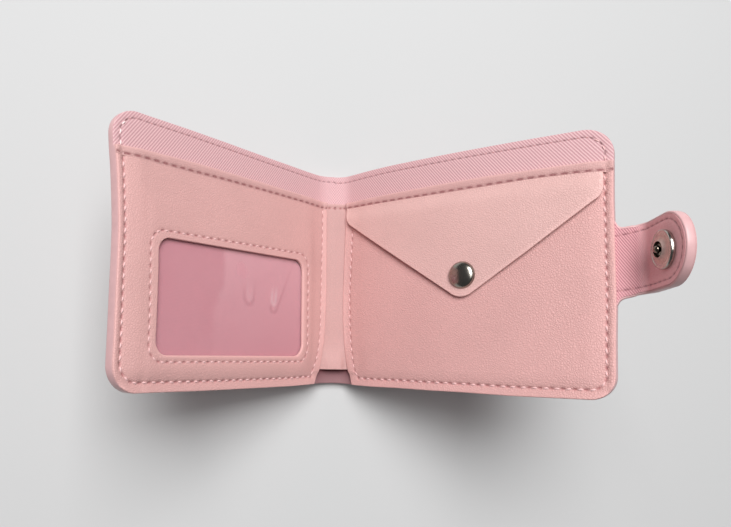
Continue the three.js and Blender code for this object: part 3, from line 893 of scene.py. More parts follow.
# M_HEM and M_STRIP are darker, M_FLAP and M_POCKET lighter copies of the panel leather, set to how bright their places
# are under the light: painted shade and painted light. The second colour of each leather is the painted shade for its
# marked holes, slits and shaded places.
M_HEM = leather("pink_leather_hem", (0.640, 0.368, 0.352), (0.270, 0.082, 0.088))
M_FLAP = leather("pink_leather_flap", (0.728, 0.448, 0.421), (0.40, 0.150, 0.155), rough=0.5, depth=0.19)
M_POCKET = leather("pink_leather_pocket", (0.706, 0.396, 0.378), (0.40, 0.150, 0.155), depth=0.22)
M_STRIP = leather("pink_leather_strip", (0.550, 0.315, 0.300), (0.40, 0.150, 0.155), rough=0.5, depth=0.09)
M_OUTER = leather("pink_leather_outer", (0.630, 0.345, 0.345), (0.30, 0.090, 0.095), rough=0.5, depth=0.11)
M_EDGE = painted_edge("painted_edge", (0.690, 0.415, 0.420))
M_TWILL = twill("twill_cloth", (0.745, 0.487, 0.494), (0.535, 0.285, 0.313))
M_TWILL_STRAP = twill("twill_cloth_strap", (0.760, 0.400, 0.425), (0.460, 0.185, 0.215), pitch=0.62, angle=60.0, cross=False, fade=(5.6, 9.2))
M_WIN = dotted("window_cloth", (0.690, 0.330, 0.375), (0.590, 0.255, 0.300))
# One pink thread in four copies: the shaded and sunk copies are darker as painted shade (lining top seam, strap, sunk
# hem stitches), the light copy is lighter as painted highlight (left corner stitches).
M_THREAD = thread_mat("pink_thread", (0.840, 0.525, 0.520))
M_THREAD_D = thread_mat("pink_thread_shaded", (0.560, 0.260, 0.262))
M_THREAD_H = thread_mat("pink_thread_sunk_painted_shade", (0.380, 0.150, 0.155))
M_NICKEL = metal("nickel", (0.44, 0.41, 0.375), 0.14, 0.08)
M_DARK = metal("dark_nickel", (0.335, 0.312, 0.275), 0.19, 0.07)
# painted shade: the pin's near-black base stands in for the shade inside the snap socket's hollow
M_PIN = metal("nickel_pin_painted_shade", (0.20, 0.155, 0.125), 0.17, 0.08)
# painted reflection: the pink tint of this satin nickel stands in for the pink leather it reflects
M_SATIN = metal("nickel_satin_pink_reflection", (0.62, 0.455, 0.415), 0.60, 0.06)
M_THREAD_L = thread_mat("pink_thread_painted_highlight", (0.930, 0.690, 0.685))
M_FOAM = foam("foam", (0.80, 0.72, 0.70))
M_FILM = film_mat("clear_film")

PIECES = []


def piece(ob, mat, body=None, blend=None, replaces=()):
    ob.data.materials.append(mat)
    if blend:
        a, b, p0, p1 = blend
        tuple(float(v) * 0.001 for v in p0)
        tuple(float(v) * 0.001 for v in p1)
        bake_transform(ob)
    else:
        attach(ob, body)
    if replaces:
        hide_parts(*replaces)
    PIECES.append(ob)
    return ob


FOLD = {side: ("spine", "left_cover" if side < 0 else "right_cover", MAPS[side](np.array(-0.5), np.array(0.0), np.array(1.5)), MAPS[side](np.array(11.5), np.array(0.0), np.array(1.5))) for side in (-1, 1)}
NAME = {-1: "left", 1: "right"}


def const(v):
    return lambda s, y: np.full(np.shape(s), float(v))


def waves(seed, amp, scale):
    """A gentle, fixed unevenness of a soft surface."""
    g = np.random.default_rng(seed)
    ks = g.normal(0, 1, (7, 2)) / scale
    ps = g.uniform(0, 2 * pi, 7)

    def f(s, y):
        return amp * sum(np.sin(s * k[0] + y * k[1] + p) for k, p in zip(ks, ps)) / 7 ** 0.5

    return f


# ---------------------------------------------------------------------------------------------------------------------
# Shell
RIM = {side: rim(side, 0, 0, 0, RBOT[side], RTOP[side]) for side in (-1, 1)}
SEAM_IN = {-1: (3.4, 2.75, 2.6), 1: (3.2, 2.8, 2.9)}  # bottom, outer edge, top
PERIM = {}
for side in (-1, 1):
    db, do, dt = SEAM_IN[side]
    PERIM[side] = rim(side, db, do, dt, RBOT[side] - 3.0, RTOP[side] - 2.7, 0.5)

INNER = {
    -1: knots([-48.2, -46, -42.6, -40.6, -34.2, -25.7, -8.7, -0.9, 15.4, 31, 36], [13.8, 12.4, 10.5, 9.5, 7.4, 5.6, 4.7, 4.55, 4.55, 4.7, 4.7]),
    1: knots([-48.4, -46.7, -43.7, -40.4, -36.8, -31.2, -25.6, -20, -8.4, -0.7, 15.7, 31.2, 38], [12.7, 11.8, 10.8, 9.7, 8.2, 6.7, 5.8, 5.2, 5.1, 5.5, 6.5, 7.3, 7.4]),
}
PTOP = {
    -1: knots([0, 4.4, 48, 80, 114, 118], [33.8, 33.9, 34.7, 34.8, 33.6, 33.4]),
    1: knots([0, 6.7, 37, 60, 75, 87, 113, 118], [33.4, 33.6, 34.2, 34.5, 34.6, 34.4, 34.1, 34.0]),
}
INSEAM = {
    -1: [(15.2, -44.2), (14.1, -40.7), (12.1, -36.9), (10.5, -31.4), (9.6, -25.8), (9.2, -20.2), (8.7, -8.7), (8.5, -1.1), (7.9, 15.2), (7.8, 31.0)],
    1: [(15.6, -44.2), (13.6, -40.5), (12.7, -36.7), (11.8, -31.2), (11.2, -25.6), (10.8, -20), (10.6, -8.4), (10.9, -0.8), (11.8, 18.5), (12.2, 31.6)],
}
HEMSEAM = {
    -1: [(4.9, 31.3), (36.9, 31.75), (65.1, 31.75), (89.4, 31.35), (115.0, 31.2)],
    1: [(7.2, 31.5), (46.5, 31.2), (71.7, 31.3), (93.6, 31.4), (117.0, 30.8)],
}


def curve(pts, step=0.5):
    """A smooth line through a few points."""
    p = np.asarray(pts, float)
    if len(p) < 3:
        return resample(p, step)
    t = np.concatenate([[0], np.cumsum(np.hypot(*np.diff(p, axis=0).T))])
    out = []
    m = np.zeros_like(p)
    for i in range(len(p)):
        if i == 0:
            m[i] = (p[1] - p[0]) / (t[1] - t[0])
        elif i == len(p) - 1:
            m[i] = (p[-1] - p[-2]) / (t[-1] - t[-2])
        else:
            m[i] = (p[i + 1] - p[i - 1]) / (t[i + 1] - t[i - 1])
    for i in range(len(p) - 1):
        h_ = t[i + 1] - t[i]
        u = np.linspace(0, 1, max(2, int(h_ / 0.3)))[:-1, None]
        out.append((2 * u**3 - 3 * u**2 + 1) * p[i] + (u**3 - 2 * u**2 + u) * h_ * m[i] + (-2 * u**3 + 3 * u**2) * p[i + 1] + (u**3 - u**2) * h_ * m[i + 1])
    out.append(p[-1:])
    return resample(np.vstack(out), step)


def panel_outline(side, grow=0.0):
    """The inner panel's edge, counter-clockwise from its inner bottom corner."""
    r_ = RIM[side]
    i0 = np.argmax(r_[:, 0] > INNER[side](BOT[side](17)) + 0.6)
    top = PTOP[side](S0[side])
    i1 = np.argmax((r_[:, 1] > top - 0.5) & (r_[:, 0] > 60))
    out = r_[i0:i1]
    s_o = OUT[side](top)
    ts = np.arange(s_o, INNER[side](top), -0.7)
    tp = np.stack([ts, PTOP[side](ts)], -1)
    y1 = tp[-1, 1]
    yi = np.arange(y1 - 0.5, r_[i0 - 1, 1] + 0.35, -0.7)
    ip = np.stack([INNER[side](yi), yi], -1)
    st = np.array([[INNER[side](BOT[side](17)), BOT[side](17)]])
    return np.vstack([st, out, tp, ip])


perim_seam, perim_part = {}, {}
for side in (-1, 1):
    P = PERIM[side]
    nm = NAME[side]
    fm = MAPS[side]
    # outer leather, seen from outside, with the row of stitches round its edge
    inner_end = INSEAM[side][0]
    seam_all = Seam(P, 3.74, groove=0.14, pit=0.30)
    perim_seam[side] = seam_all
    uneven = waves(3 + side, 0.05, 14)
    ob = sheet(f"shell_leather_{nm}", fm, RIM[side], const(-0.7), const(0.68), open0=True, r=0.45, seams=[seam_all], h=2.2, face=-1)
    piece(ob, M_OUTER, blend=FOLD[side], replaces=(f"{nm}_outer_leather", "spine_leather"))
    ob = sheet(f"shell_padding_{nm}", fm, rim(side, 0.5, 0.5, 0.5, RBOT[side] - 0.5, RTOP[side] - 0.5, 1.4), const(1.76), const(0.72), open0=True, r=0, h=3.0)
    piece(ob, M_FOAM, blend=FOLD[side], replaces=(f"{nm}_padding", "spine_padding"))

# the seam's stretch that shows on the twill: over the top and a little of the outer edge
TOPSEAM, SIDESEAM, CORNER = {}, {}, {}
for side in (-1, 1):
    P = PERIM[side]
    k = np.argmax((P[:, 1] > PTOP[side](S0[side]) - 0.6) & (P[:, 0] > 60))
    kk = np.argmin(np.abs(P[:, 0] - INSEAM[side][0][0]) + 99 * (P[:, 1] > 0))
    k2 = np.argmax((P[:, 1] > 43.4) & (P[:, 0] > 60))
    TOPSEAM[side] = Seam(P[k2:], 3.0, groove=0.08, pit=0.18, width=0.4, slit=0.95, half=0.22, hole_shade=0.5)
    CORNER[side] = Seam(P[k : k2 + 1], 3.4, groove=0.12, pit=0.28, slit=0.75, half=0.30, hole_shade=0.5)
    SIDESEAM[side] = Seam(P[kk : k + 1], 3.74, groove=0.2, pit=0.36, slit=0.80)

# extra points at the foot of the spine, where the lining gets its painted shadow
FOOT = np.stack(np.meshgrid(np.arange(0.8, 14, 0.8), np.arange(-46.4, -37, 0.7), indexing="ij"), -1).reshape(-1, 2)
for side in (-1, 1):
    nm, fm = NAME[side], MAPS[side]
    lin = lambda s, y: np.full(np.shape(s), 2.6)
    # painted shadow: the lining is darkened below the centre strip's free end, fading downwards and away from the spine
    ob = sheet(f"lining_{nm}", fm, RIM[side], lin, const(1.80), open0=True, r=0.35, seams=[TOPSEAM[side], CORNER[side]], h=1.8, bump=waves(20 + side, 0.04, 9), fine=FOOT, shade=lambda s, y: smooth((-y - 37) / 2) * (0.56 + 0.44 * np.exp(-np.clip(-41.2 - y, 0, 9) / 2.5)) * smooth((14 - s) / 4))
    W = float(OUT[side](0)) * 0.001
    piece(ob, M_TWILL, blend=FOLD[side], replaces=(f"{nm}_lining", "spine_lining"))

    # painted edge round the shell
    P = RIM[side]
    ptop = PTOP[side](S0[side])

    def height(i, P=P, side=side, ptop=ptop):
        s_, y_ = P[i]
        a = smooth((ptop + 0.1 - y_) / 0.9) * smooth((s_ - (INNER[side](BOT[side](17)) - 0.3)) / 0.8)
        return 2.30 + 0.95 * a

    def section(i):
        w1, w0 = height(i), -0.42
        pts = [(-0.35, w0 - 0.12), (0.02, w0 - 0.10)] + [(0.02 + 0.20 * math.sin(math.radians(a)), w0 + 0.35 - 0.42 * math.cos(math.radians(a))) for a in (25, 55, 85)]
        pts += [(0.24, (w0 + w1) / 2)] + [(0.02 + 0.20 * math.sin(math.radians(a)), w1 - 0.35 + 0.42 * math.cos(math.radians(a))) for a in (85, 55, 25)] + [(0.02, w1 + 0.10), (-0.35, w1 + 0.12)]
        return [(a - 0.16, b) for a, b in pts]

    ob = sweep(f"painted_edge_{nm}", fm, P, section)
    piece(ob, M_EDGE, blend=FOLD[side])

    # centre strip
    st = corner_path([(0, -41.0), (13.9, -41.0), (13.9, 33.6), (0, 33.6)], [0, 0.5, 0.5, 0])
    st = resample(st, 0.7)
    st[0, 0] = st[-1, 0] = 0

    def stop(s, y):
        dome = 0.42 * (1 - np.clip(s / 9.0, 0, 1) ** 2)
        tip = 1.9 * np.exp(-(((y + 41) / 8.0) ** 2)) * (1 - smooth((s - 3) / 6.5))
        return 3.42 + dome + tip

    def sbot(s, y):
        return stop(s, y) - 0.72

    seam = Seam([(0, 31.6), (8.2, 31.6)], 2.7, groove=0.15, pit=0.3, slit=0.7)
    ob = sheet(f"centre_strip_{nm}", fm, st, stop, sbot, open0=True, r=0.3, seams=[seam], h=1.1, bump=waves(31, 0.03, 6))
    piece(ob, M_STRIP, blend=FOLD[side], replaces=("spine_strip",))

# ---------------------------------------------------------------------------------------------------------------------
# Panels
def edge_rise(side, q_out, low, high, reach):
    """Panel height: low where it is sewn down at its outer, bottom and inner edges, high in the middle."""

    def f(s, y):
        d1 = OUT[side](y) - s
        d2 = y - BOT[side](s)
        d3 = s - INNER[side](y)
        a = smooth((d1 - 1.0) / reach)
        b = smooth((d2 - 1.2) / (0.75 * reach))
        c = smooth((d3 - 1.0) / (1.6 * reach))
        over = smooth((15.6 - s) / 1.6) * smooth((y + 43.2) / 1.6)
        db, do, _ = SEAM_IN[side]
        lip = np.maximum(np.maximum(smooth((do - 0.3 - d1) / 1.4), smooth((db - 0.3 - d2) / 1.8)), 0.6 * smooth((3.4 - d3) / 1.8))
        base = low + 0.55 * over * (1 - c) + 0.42 * lip
        return base + (high - base) * a * b * c

    return f


LTOP = edge_rise(-1, None, 3.42, 4.70, 9.0)
RTOPW = edge_rise(1, None, 3.42, 4.15, 8.0)


def slots_print(s, y):
    """Faint lines where the card slots' edges press through the panel."""
    out = 0
    for yy, a in ((27.2, 0.10), (22.6, 0.07), (18.2, 0.08), (13.2, 0.06)):
        out = out + a * smooth((yy - y + 0.5) / 1.0) * smooth((s - 14) / 3) * smooth((104 - s) / 3)
    return out


WIN_POLY = [(22.65, -35.2), (99.5, -35.0), (98.9, 5.0), (22.75, 5.5)]
WIN = corner_path(WIN_POLY, [5.0] * 4, 0.5, closed=True)
WIN = resample(WIN, 0.6, closed=True)
WSEAM = resample(corner_path([(19.2, -37.6), (102.2, -37.3), (102.2, 7.3), (19.3, 8.5)], [5.8] * 4, 0.4, closed=True), 0.4, closed=True)

wave_l = waves(5, 0.07, 13)
wave_r = waves(6, 0.06, 12)


def ltop(s, y):
    return LTOP(s, y) + slots_print(s, y) + wave_l(s, y) * smooth((OUT[-1](y) - s) / 8) * smooth((y + 46) / 6)


def lbot(s, y):
    return np.maximum(ltop(s, y) - 1.0, 2.62)


def rtop(s, y):
    return RTOPW(s, y) + wave_r(s, y) * smooth((OUT[1](y) - s) / 8) * smooth((y + 46) / 6)


def rbot(s, y):
    return np.maximum(rtop(s, y) - 1.0, 2.62)


hem_seam = {side: Seam(curve(HEMSEAM[side]), 3.74, groove=0.0, pit=0.0) for side in (-1, 1)}
in_seam = {side: Seam(curve(INSEAM[side]), 3.6, groove=0.16, pit=0.34, slit=0.66, half=0.28, hole_shade=0.75) for side in (-1, 1)}
win_seam = Seam(WSEAM, 3.74, closed=True, groove=0.14, pit=0.32, slit=0.72, half=0.30)


def hem_sink(side, q):
    """Where points lie against the hem's stitches, which pull a narrow groove along the band's lower edge: distance
    along the seam, distance from it, and distance along it to the nearest hole.
    """
    t, d = hem_seam[side].near(q)
    h_ = np.abs((t / hem_seam[side].pitch + 0.5) % 1 - 0.5) * hem_seam[side].pitch
    return t, d, h_


lp = panel_outline(-1)
ob = sheet("window_panel", LEFT, lp, ltop, lbot, holes=[WIN[::-1]], r=0.42, seams=[SIDESEAM[-1], in_seam[-1], win_seam], h=1.5)
piece(ob, M_LEATHER, blend=FOLD[-1], replaces=("left_inner_panel",))
rp = panel_outline(1)
ob = sheet("pocket_panel", RIGHT, rp, rtop, rbot, r=0.42, seams=[SIDESEAM[1], in_seam[1]], h=1.5)
piece(ob, M_POCKET, blend=FOLD[1], replaces=("right_inner_panel",))


def hem_band(side, low_gap):
    """The folded band along a panel's top: puffed above, pulled in along its stitches."""
    seamline = hem_seam[side]
    ylow = lambda s: np.interp(s, seamline.p[:, 0], seamline.p[:, 1]) - low_gap
    s0 = float(INNER[side](33)) + 0.05
    s1 = float(OUT[side](33)) - 0.02
    ss_ = np.arange(s0, s1, 0.7)
    bot_ = np.stack([ss_, ylow(ss_)], -1)
    out_ = np.stack([[s1, s1 + 0.05], [float(ylow(s1)) + 0.3, float(PTOP[side](s1)) - 0.2]], -1)
    top_ = np.stack([ss_[::-1], PTOP[side](ss_[::-1]) + 0.12], -1)
    poly = np.vstack([bot_, resample(out_, 0.7), top_, resample(np.array([[s0, float(PTOP[side](s0)) - 0.5], [s0, float(ylow(s0)) + 0.5]]), 0.7)])
    under = ltop if side < 0 else rtop

    def front(s, y):
        yl = np.interp(s, seamline.p[:, 0], seamline.p[:, 1])
        yt = PTOP[side](s)
        k = np.clip((y - yl) / (yt - yl), -0.3, 1.1)
        puff = 0.26 + 0.24 * np.sin(pi / 2 * np.clip(k / 0.45, 0, 1)) * (1 - 0.25 * smooth((k - 0.7) / 0.35)) - 0.30 * smooth((-k - 0.06) / 0.16)
        ends = smooth((OUT[side](y) - s - 1.2) / 4) * 0.45 + 0.55
        return back(s, y) + puff * ends

    def back(s, y):
        over = smooth((s - 7.6) / 1.0) * smooth((114.8 - s) / 1.0) if side > 0 else 0
        return under(s, y) + 0.02 + 0.52 * over

    # painted shade: the slits along the band's lower edge take the full dark colour
    sm = Seam(seamline.p, 3.74, groove=0.02, pit=0.17, width=0.4, slit=1.22, half=0.36, hole_shade=1.0)
    return poly, front, back, sm


hem_obj = {}
hem_front = {}
for side, gap in ((-1, 0.85), (1, 0.75)):
    poly, fr, bk, sm = hem_band(side, gap)
    nm = NAME[side]
    hem_seam[side] = sm
    hem_front[side] = fr
    ob = sheet(f"{'window' if side < 0 else 'pocket'}_panel_hem", MAPS[side], poly, fr, bk, r=0.26, seams=[sm], h=0.75)
    piece(ob, M_HEM, blend=FOLD[side], replaces=(f"{nm}_panel_hem",))

# sheets behind the window panel
def rect(s0, s1, y0, y1, r_=1.5):
    return resample(corner_path([(s0, y0), (s1, y0), (s1, y1), (s0, y1)], [r_] * 4, 0.5, closed=True), 1.0, closed=True)


def layer(frac0, frac1, cap=None):
    """A height between the lining and the underside of the window panel."""

    def f(s, y):
        lo, hi = 2.66, lbot(s, y) - 0.05
        return lo + (hi - lo) * frac0, lo + (hi - lo) * frac1

    return (lambda s, y: f(s, y)[1]), (lambda s, y: f(s, y)[0])


fr, bk = layer(0.02, 0.11)
ob = sheet("card_divider_sheet", LEFT, rect(14, 111.5, -44.0, 31.4), fr, bk, r=0, h=3.5)
piece(ob, M_TWILL, body="left_cover", replaces=("card_divider",))
fr, bk = layer(0.14, 0.25)
ob = sheet("card_slot_rear", LEFT, rect(17, 111, -43.4, 27.4), fr, bk, r=0, h=3.5)
piece(ob, M_LEATHER, body="left_cover", replaces=("card_slot_back",))
fr, bk = layer(0.28, 0.39)
ob = sheet("card_slot_fore", LEFT, rect(17, 111, -43.4, 18.6), fr, bk, r=0, h=3.5)
piece(ob, M_LEATHER, body="left_cover", replaces=("card_slot_front",))
fr, bk = layer(0.40, 0.46)
ob = sheet("window_backing", LEFT, rect(17.2, 104.6, -40.6, 11.0), fr, bk, r=0, h=2.0, bump=waves(41, 0.03, 8))
piece(ob, M_WIN, body="left_cover", replaces=("id_pocket_back",))


def film_wave(s, y):
    # slack in the clear film: a soft U-shaped fold towards its right half
    u, v = (s - 44) / 9.0, (y + 14) / 13.0
    r_ = np.hypot(u, np.minimum(v, 0) * 1.0)
    fold = 0.10 * np.exp(-(((r_ - 1.0) / 0.22) ** 2)) * smooth((12 - y) / 8)
    return fold + 0.04 * np.sin(s / 9.0) * np.sin(y / 7.0 + 1)


fr, bk = layer(0.50, 0.56)
ob = sheet("window_film", LEFT, rect(17.8, 103.8, -39.4, 10.4), fr, bk, r=0, h=1.2, bump=film_wave)
piece(ob, M_FILM, body="left_cover", replaces=("id_window_film",))
# pocket back on the right
ob = sheet("pocket_backing", RIGHT, rect(14, 113.5, -44.0, 31.8), lambda s, y: np.minimum(rbot(s, y) - 0.04, 3.05), const(2.64), r=0, h=3.5)
piece(ob, M_TWILL, body="right_cover", replaces=("coin_pocket_back",))

# ---------------------------------------------------------------------------------------------------------------------
# Coin flap
FLAP_POLY = [(8.7, 32.6), (9.2, 24.95), (64.9, -12.85), (89.5, 4.1), (114.1, 22.3), (113.9, 32.6)]
FLAP = corner_path(FLAP_POLY, [0.3, 8.2, 6.8, 50.0, 5.2, 0.3], 0.5, closed=True)
FLAP = resample(FLAP, 0.6, closed=True)
SNAP = (65.3, -3.1)


def flap_lift(s, y):
    """How far the flap stands off the panel: close under the hem and at the snap, free along its slanting edges."""
    k = smooth((32.2 - y) / 9)
    r_ = np.hypot((s - SNAP[0]), (y - SNAP[1]))
    return 0.06 + 0.62 * k * (0.8 + 0.6 * smooth((r_ - 8) / 20))


def fback(s, y):
    return rtop(s, y) + flap_lift(s, y)


def ffront(s, y):
    dimple = 0.10 * np.exp(-((np.hypot(s - SNAP[0], y - SNAP[1]) / 6.5) ** 4))
    return fback(s, y) + 0.42 + 0.62 * smooth((30.4 - y) / 4.5) - dimple


HINGE = RIGHT(np.array([60.0, 60.0]), np.array([32.6, 29.0]), np.array([4.9, 4.9]))
FLAPBLEND = ("right_cover", "coin_flap", HINGE[0], HINGE[1])
ob = sheet("flap_leather", RIGHT, FLAP, ffront, lambda s, y: fback(s, y) + 0.03 + 0.31 * smooth((30.0 - y) / 3.0), r=0.3, h=1.4, bump=waves(50, 0.05, 15))
piece(ob, M_FLAP, blend=FLAPBLEND, replaces=("coin_flap",))
FLIN = resample(corner_path([(9.8, 28.6), (10.1, 25.55), (64.9, -11.5), (89.5, 5.4), (113.0, 22.8), (112.9, 28.6)], [0.3, 7.4, 6.0, 50.0, 4.6, 0.3], 0.5, closed=True), 0.8, True)
ob = sheet("flap_backing", RIGHT, FLIN, lambda s, y: fback(s, y) + 0.02 + 0.31 * smooth((30.0 - y) / 3.0), fback, r=0, h=2.5)
piece(ob, M_TWILL, blend=FLAPBLEND, replaces=("flap_lining",))


def frame_at(fmap, s, y, w):
    p = fmap(np.array(float(s)), np.array(float(y)), np.array(float(w)))
    q = fmap(np.array(float(s)), np.array(float(y)), np.array(float(w) + 1))
    return p, (q - p) / np.linalg.norm(q - p)


wf = float(ffront(np.array(SNAP[0]), np.array(SNAP[1])))
o, ax = frame_at(RIGHT, SNAP[0], SNAP[1], wf)
prof = [(0, 2.42)] + [(5.0 * math.sin(math.radians(a)), 0.62 + 1.80 * math.cos(math.radians(a))) for a in (8, 16, 25, 34, 43, 52, 61, 70, 79, 86)]
prof += [(5.20, 0.50), (5.28, 0.32), (5.25, 0.14), (5.10, 0.0), (4.6, -0.06), (0, -0.06)]
ob = lathe("flap_snap_dome", o, ax, prof)
piece(ob, M_DARK, body="coin_flap", replaces=("flap_snap_cap",))
wb_ = float(fback(np.array(SNAP[0]), np.array(SNAP[1])))
o, ax = frame_at(RIGHT, SNAP[0], SNAP[1], wb_)
prof = [(2.3, 0.0), (4.7, 0.02), (4.95, -0.1), (5.0, -0.3), (4.9, -0.42), (3.4, -0.46), (3.2, -0.40), (2.6, -0.42), (2.3, -0.34)]
ob = lathe("flap_snap_ring", o, ax, [(r_, h_) for r_, h_ in prof])
piece(ob, M_NICKEL, body="coin_flap", replaces=("flap_snap_socket",))
wp = float(rtop(np.array(SNAP[0]), np.array(SNAP[1])))
o, ax = frame_at(RIGHT, SNAP[0], SNAP[1], wp)
prof = [(0, 0.62)] + [(1.9 * math.sin(math.radians(a)), -0.10 + 0.72 * math.cos(math.radians(a))) for a in (20, 40, 60, 80)] + [(1.9, -0.30), (1.75, -0.55), (0, -0.55)]
ob = lathe("pocket_snap_stud", o, ax, prof)
piece(ob, M_DARK, body="right_cover", replaces=("pocket_stud_post", "pocket_stud_base"))

# ---------------------------------------------------------------------------------------------------------------------
# Closing strap
TS = 5.3  # the two lengths meet here


def strap_width(t):
    return STRAP_W + 0.45 * (1 - smooth(t / 9)) + 2.6 * (1 - np.sqrt(np.clip(1 - (1 - np.clip(t, 0, 2.6) / 2.6) ** 2, 0, 1)))


def strap_outline(t0, t1, inset, end=True):
    if not end:
        tt = np.linspace(t0, t1, 24)
        wd = strap_width(tt) - inset
        wd = np.where(tt < 0, strap_width(0.0) - inset, wd)
        lo = np.stack([tt, -wd], -1)
        hi = np.stack([tt[::-1], wd[::-1]], -1)
        a = np.arange(-wd[-1] + 0.7, wd[-1] - 0.3, 0.7)
        b = np.arange(wd[0] - 0.7, -wd[0] + 0.3, -0.7)
        return np.vstack([lo, np.stack([np.full(len(a), tt[-1]), a], -1), hi, np.stack([np.full(len(b), tt[0]), b], -1)])
    Wd = STRAP_W - inset
    tt = np.arange(t0, t1, 0.45)
    lo = np.stack([tt, np.full(len(tt), -Wd)], -1)
    k = np.linspace(-90, 90, 53)
    endp = np.stack([t1 + Wd * np.cos(np.radians(k)), Wd * np.sin(np.radians(k))], -1)
    hi = lo[::-1] * np.array([1, -1])
    b = np.arange(Wd - 0.7, -Wd + 0.3, -0.7)
    return np.vstack([lo, endp, hi, np.stack([np.full(len(b), tt[0]), b], -1)])


def P3(f, *a):
    return f(*[np.array(float(v)) for v in a])


def level(p, q):
    """q moved along the strap's width so that it lies straight ahead of p."""
    return (q[0], p[1], q[2])


ROOTBLEND = ("right_cover", "strap_root", P3(STRAP, -1.5, 0, 0), level(P3(STRAP, -1.5, 0, 0), P3(STRAP, 4.2, 0, 0)))

TIPBLEND = ("strap_root", "strap_tip", P3(STRAP, 5.6, 0, 0), level(P3(STRAP, 5.6, 0, 0), P3(STRAP, 12.6, 0, 0)))
STRAP_SEAM_IN = 2.2
_ss = strap_outline(-0.2, STRAP_RING, STRAP_SEAM_IN)
_ss = _ss[: len(_ss) - len(np.arange(STRAP_W - STRAP_SEAM_IN - 0.7, -(STRAP_W - STRAP_SEAM_IN) + 0.3, -0.7))]
strap_seam = Seam(_ss, 3.0, groove=0.08, pit=0.20, width=0.45, slit=0.95, half=0.24, hole_shade=0.7)
ob = sheet("strap_root_outer", STRAP, strap_outline(-4.8, TS, 0.0, end=False), const(-1.5), const(0.4), r=0.0, h=1.0, seams=[strap_seam], face=-1)
piece(ob, M_OUTER, blend=ROOTBLEND, replaces=("strap_root_leather",))
ob = sheet("strap_root_face", STRAP, strap_outline(-4.8, TS, 0.55, end=False), const(1.5), const(0.42), r=0.0, h=1.0, seams=[strap_seam])
piece(ob, M_TWILL_STRAP, blend=ROOTBLEND, replaces=("strap_root_lining",))
ob = sheet("strap_end_outer", STRAP, strap_outline(TS, STRAP_RING, 0.0), const(-1.5), const(0.4), r=0.0, h=1.0, seams=[strap_seam], face=-1)
piece(ob, M_OUTER, blend=TIPBLEND, replaces=("strap_tip_leather",))
ob = sheet("strap_end_face", STRAP, strap_outline(TS, STRAP_RING, 0.55), const(1.5), const(0.42), r=0.0, h=1.0, seams=[strap_seam])
piece(ob, M_TWILL_STRAP, blend=TIPBLEND, replaces=("strap_tip_lining",))
full = strap_outline(0.0, STRAP_RING, 0.0)


def strap_edge(name, t0, t1, end):
    """The painted edge of a length of strap: a rounded band over the two leathers' edges."""
    if end:
        p = strap_outline(t0, t1, 0.0)
        n_b = len(np.arange(STRAP_W - 0.7, -STRAP_W + 0.3, -0.7))
        paths = [p[: len(p) - n_b]]
    else:
        tt = np.linspace(t0, t1, 18)
        paths = [np.stack([tt, -strap_width(tt)], -1), np.stack([tt[::-1], strap_width(tt[::-1])], -1)]
    obs = []
    for k, p in enumerate(paths):
        sec = [(-0.45, -1.28), (0.0, -1.24), (0.14, -1.05), (0.20, -0.6), (0.21, 0.0), (0.20, 0.6), (0.14, 1.10), (0.0, 1.32), (-0.45, 1.36)]
        obs.append(sweep(f"{name}_{k}" if len(paths) > 1 else name, STRAP, p, lambda i: sec))
    return obs


for ob in strap_edge("strap_root_edge", -1.5, TS, False):
    piece(ob, M_EDGE, blend=ROOTBLEND)
for ob in strap_edge("strap_end_edge", TS, STRAP_RING, True):
    piece(ob, M_EDGE, blend=TIPBLEND)

o, ax = frame_at(STRAP, STRAP_RING, 0, 1.5)
RR = 6.25
prof = [(2.72, 0.0), (2.72, 1.18), (2.86, 1.36), (3.10, 1.42), (4.9, 1.40), (5.45, 1.38), (5.62, 1.50), (5.90, 1.52), (6.12, 1.42), (RR, 1.20), (RR, 0.22), (6.10, 0.05), (5.8, 0.0)]
ob = lathe("strap_snap_ring", o, ax, prof)
piece(ob, M_NICKEL, body="strap_tip", replaces=("strap_snap_socket",))
prof = [(2.52, 1.05), (2.52, 2.30), (2.56, 2.38), (2.62, 2.38), (2.75, 2.25), (3.05, 1.95), (3.5, 1.64), (4.1, 1.46), (4.6, 1.425), (4.6, 1.05)]
ob = lathe("strap_snap_collar", o, ax, prof)
piece(ob, M_SATIN, body="strap_tip")
# the hollow and the ball in it take the near-black pin metal: painted shade
prof = [(0, 0.50), (0.9, 0.56), (1.5, 0.76), (1.95, 1.08), (2.25, 1.50), (2.40, 1.95), (2.50, 2.40), (2.58, 2.46), (2.62, 2.40), (2.56, 2.30), (2.50, 2.20), (2.50, -0.02), (0, -0.02)]
ob = lathe("strap_snap_pin", o, ax, prof)
piece(ob, M_PIN, body="strap_tip", replaces=("strap_rivet",))
prof = [(0, 3.62)] + [(1.2 * math.sin(math.radians(a)), 2.42 + 1.2 * math.cos(math.radians(a))) for a in (10, 20, 32, 44, 58, 72, 86, 100, 116, 130)] + [(0.62, 1.30), (0.62, 0.62), (0, 0.62)]
ob = lathe("strap_snap_post", o, ax, prof)
piece(ob, M_PIN, body="strap_tip")
o, ax = frame_at(STRAP, STRAP_RING, 0, -1.5)
prof = [(0, -1.78)] + [(6.0 * math.sin(math.radians(a)), -0.58 - 1.20 * math.cos(math.radians(a))) for a in (8, 16, 25, 34, 43, 52, 61, 70, 79, 87)]
prof += [(6.22, -0.45), (6.30, -0.28), (6.25, -0.1), (6.05, 0.03), (0, 0.03)]
ob = lathe("strap_snap_dome", o, ax, prof)
piece(ob, M_DARK, body="strap_tip", replaces=("strap_snap_cap",))

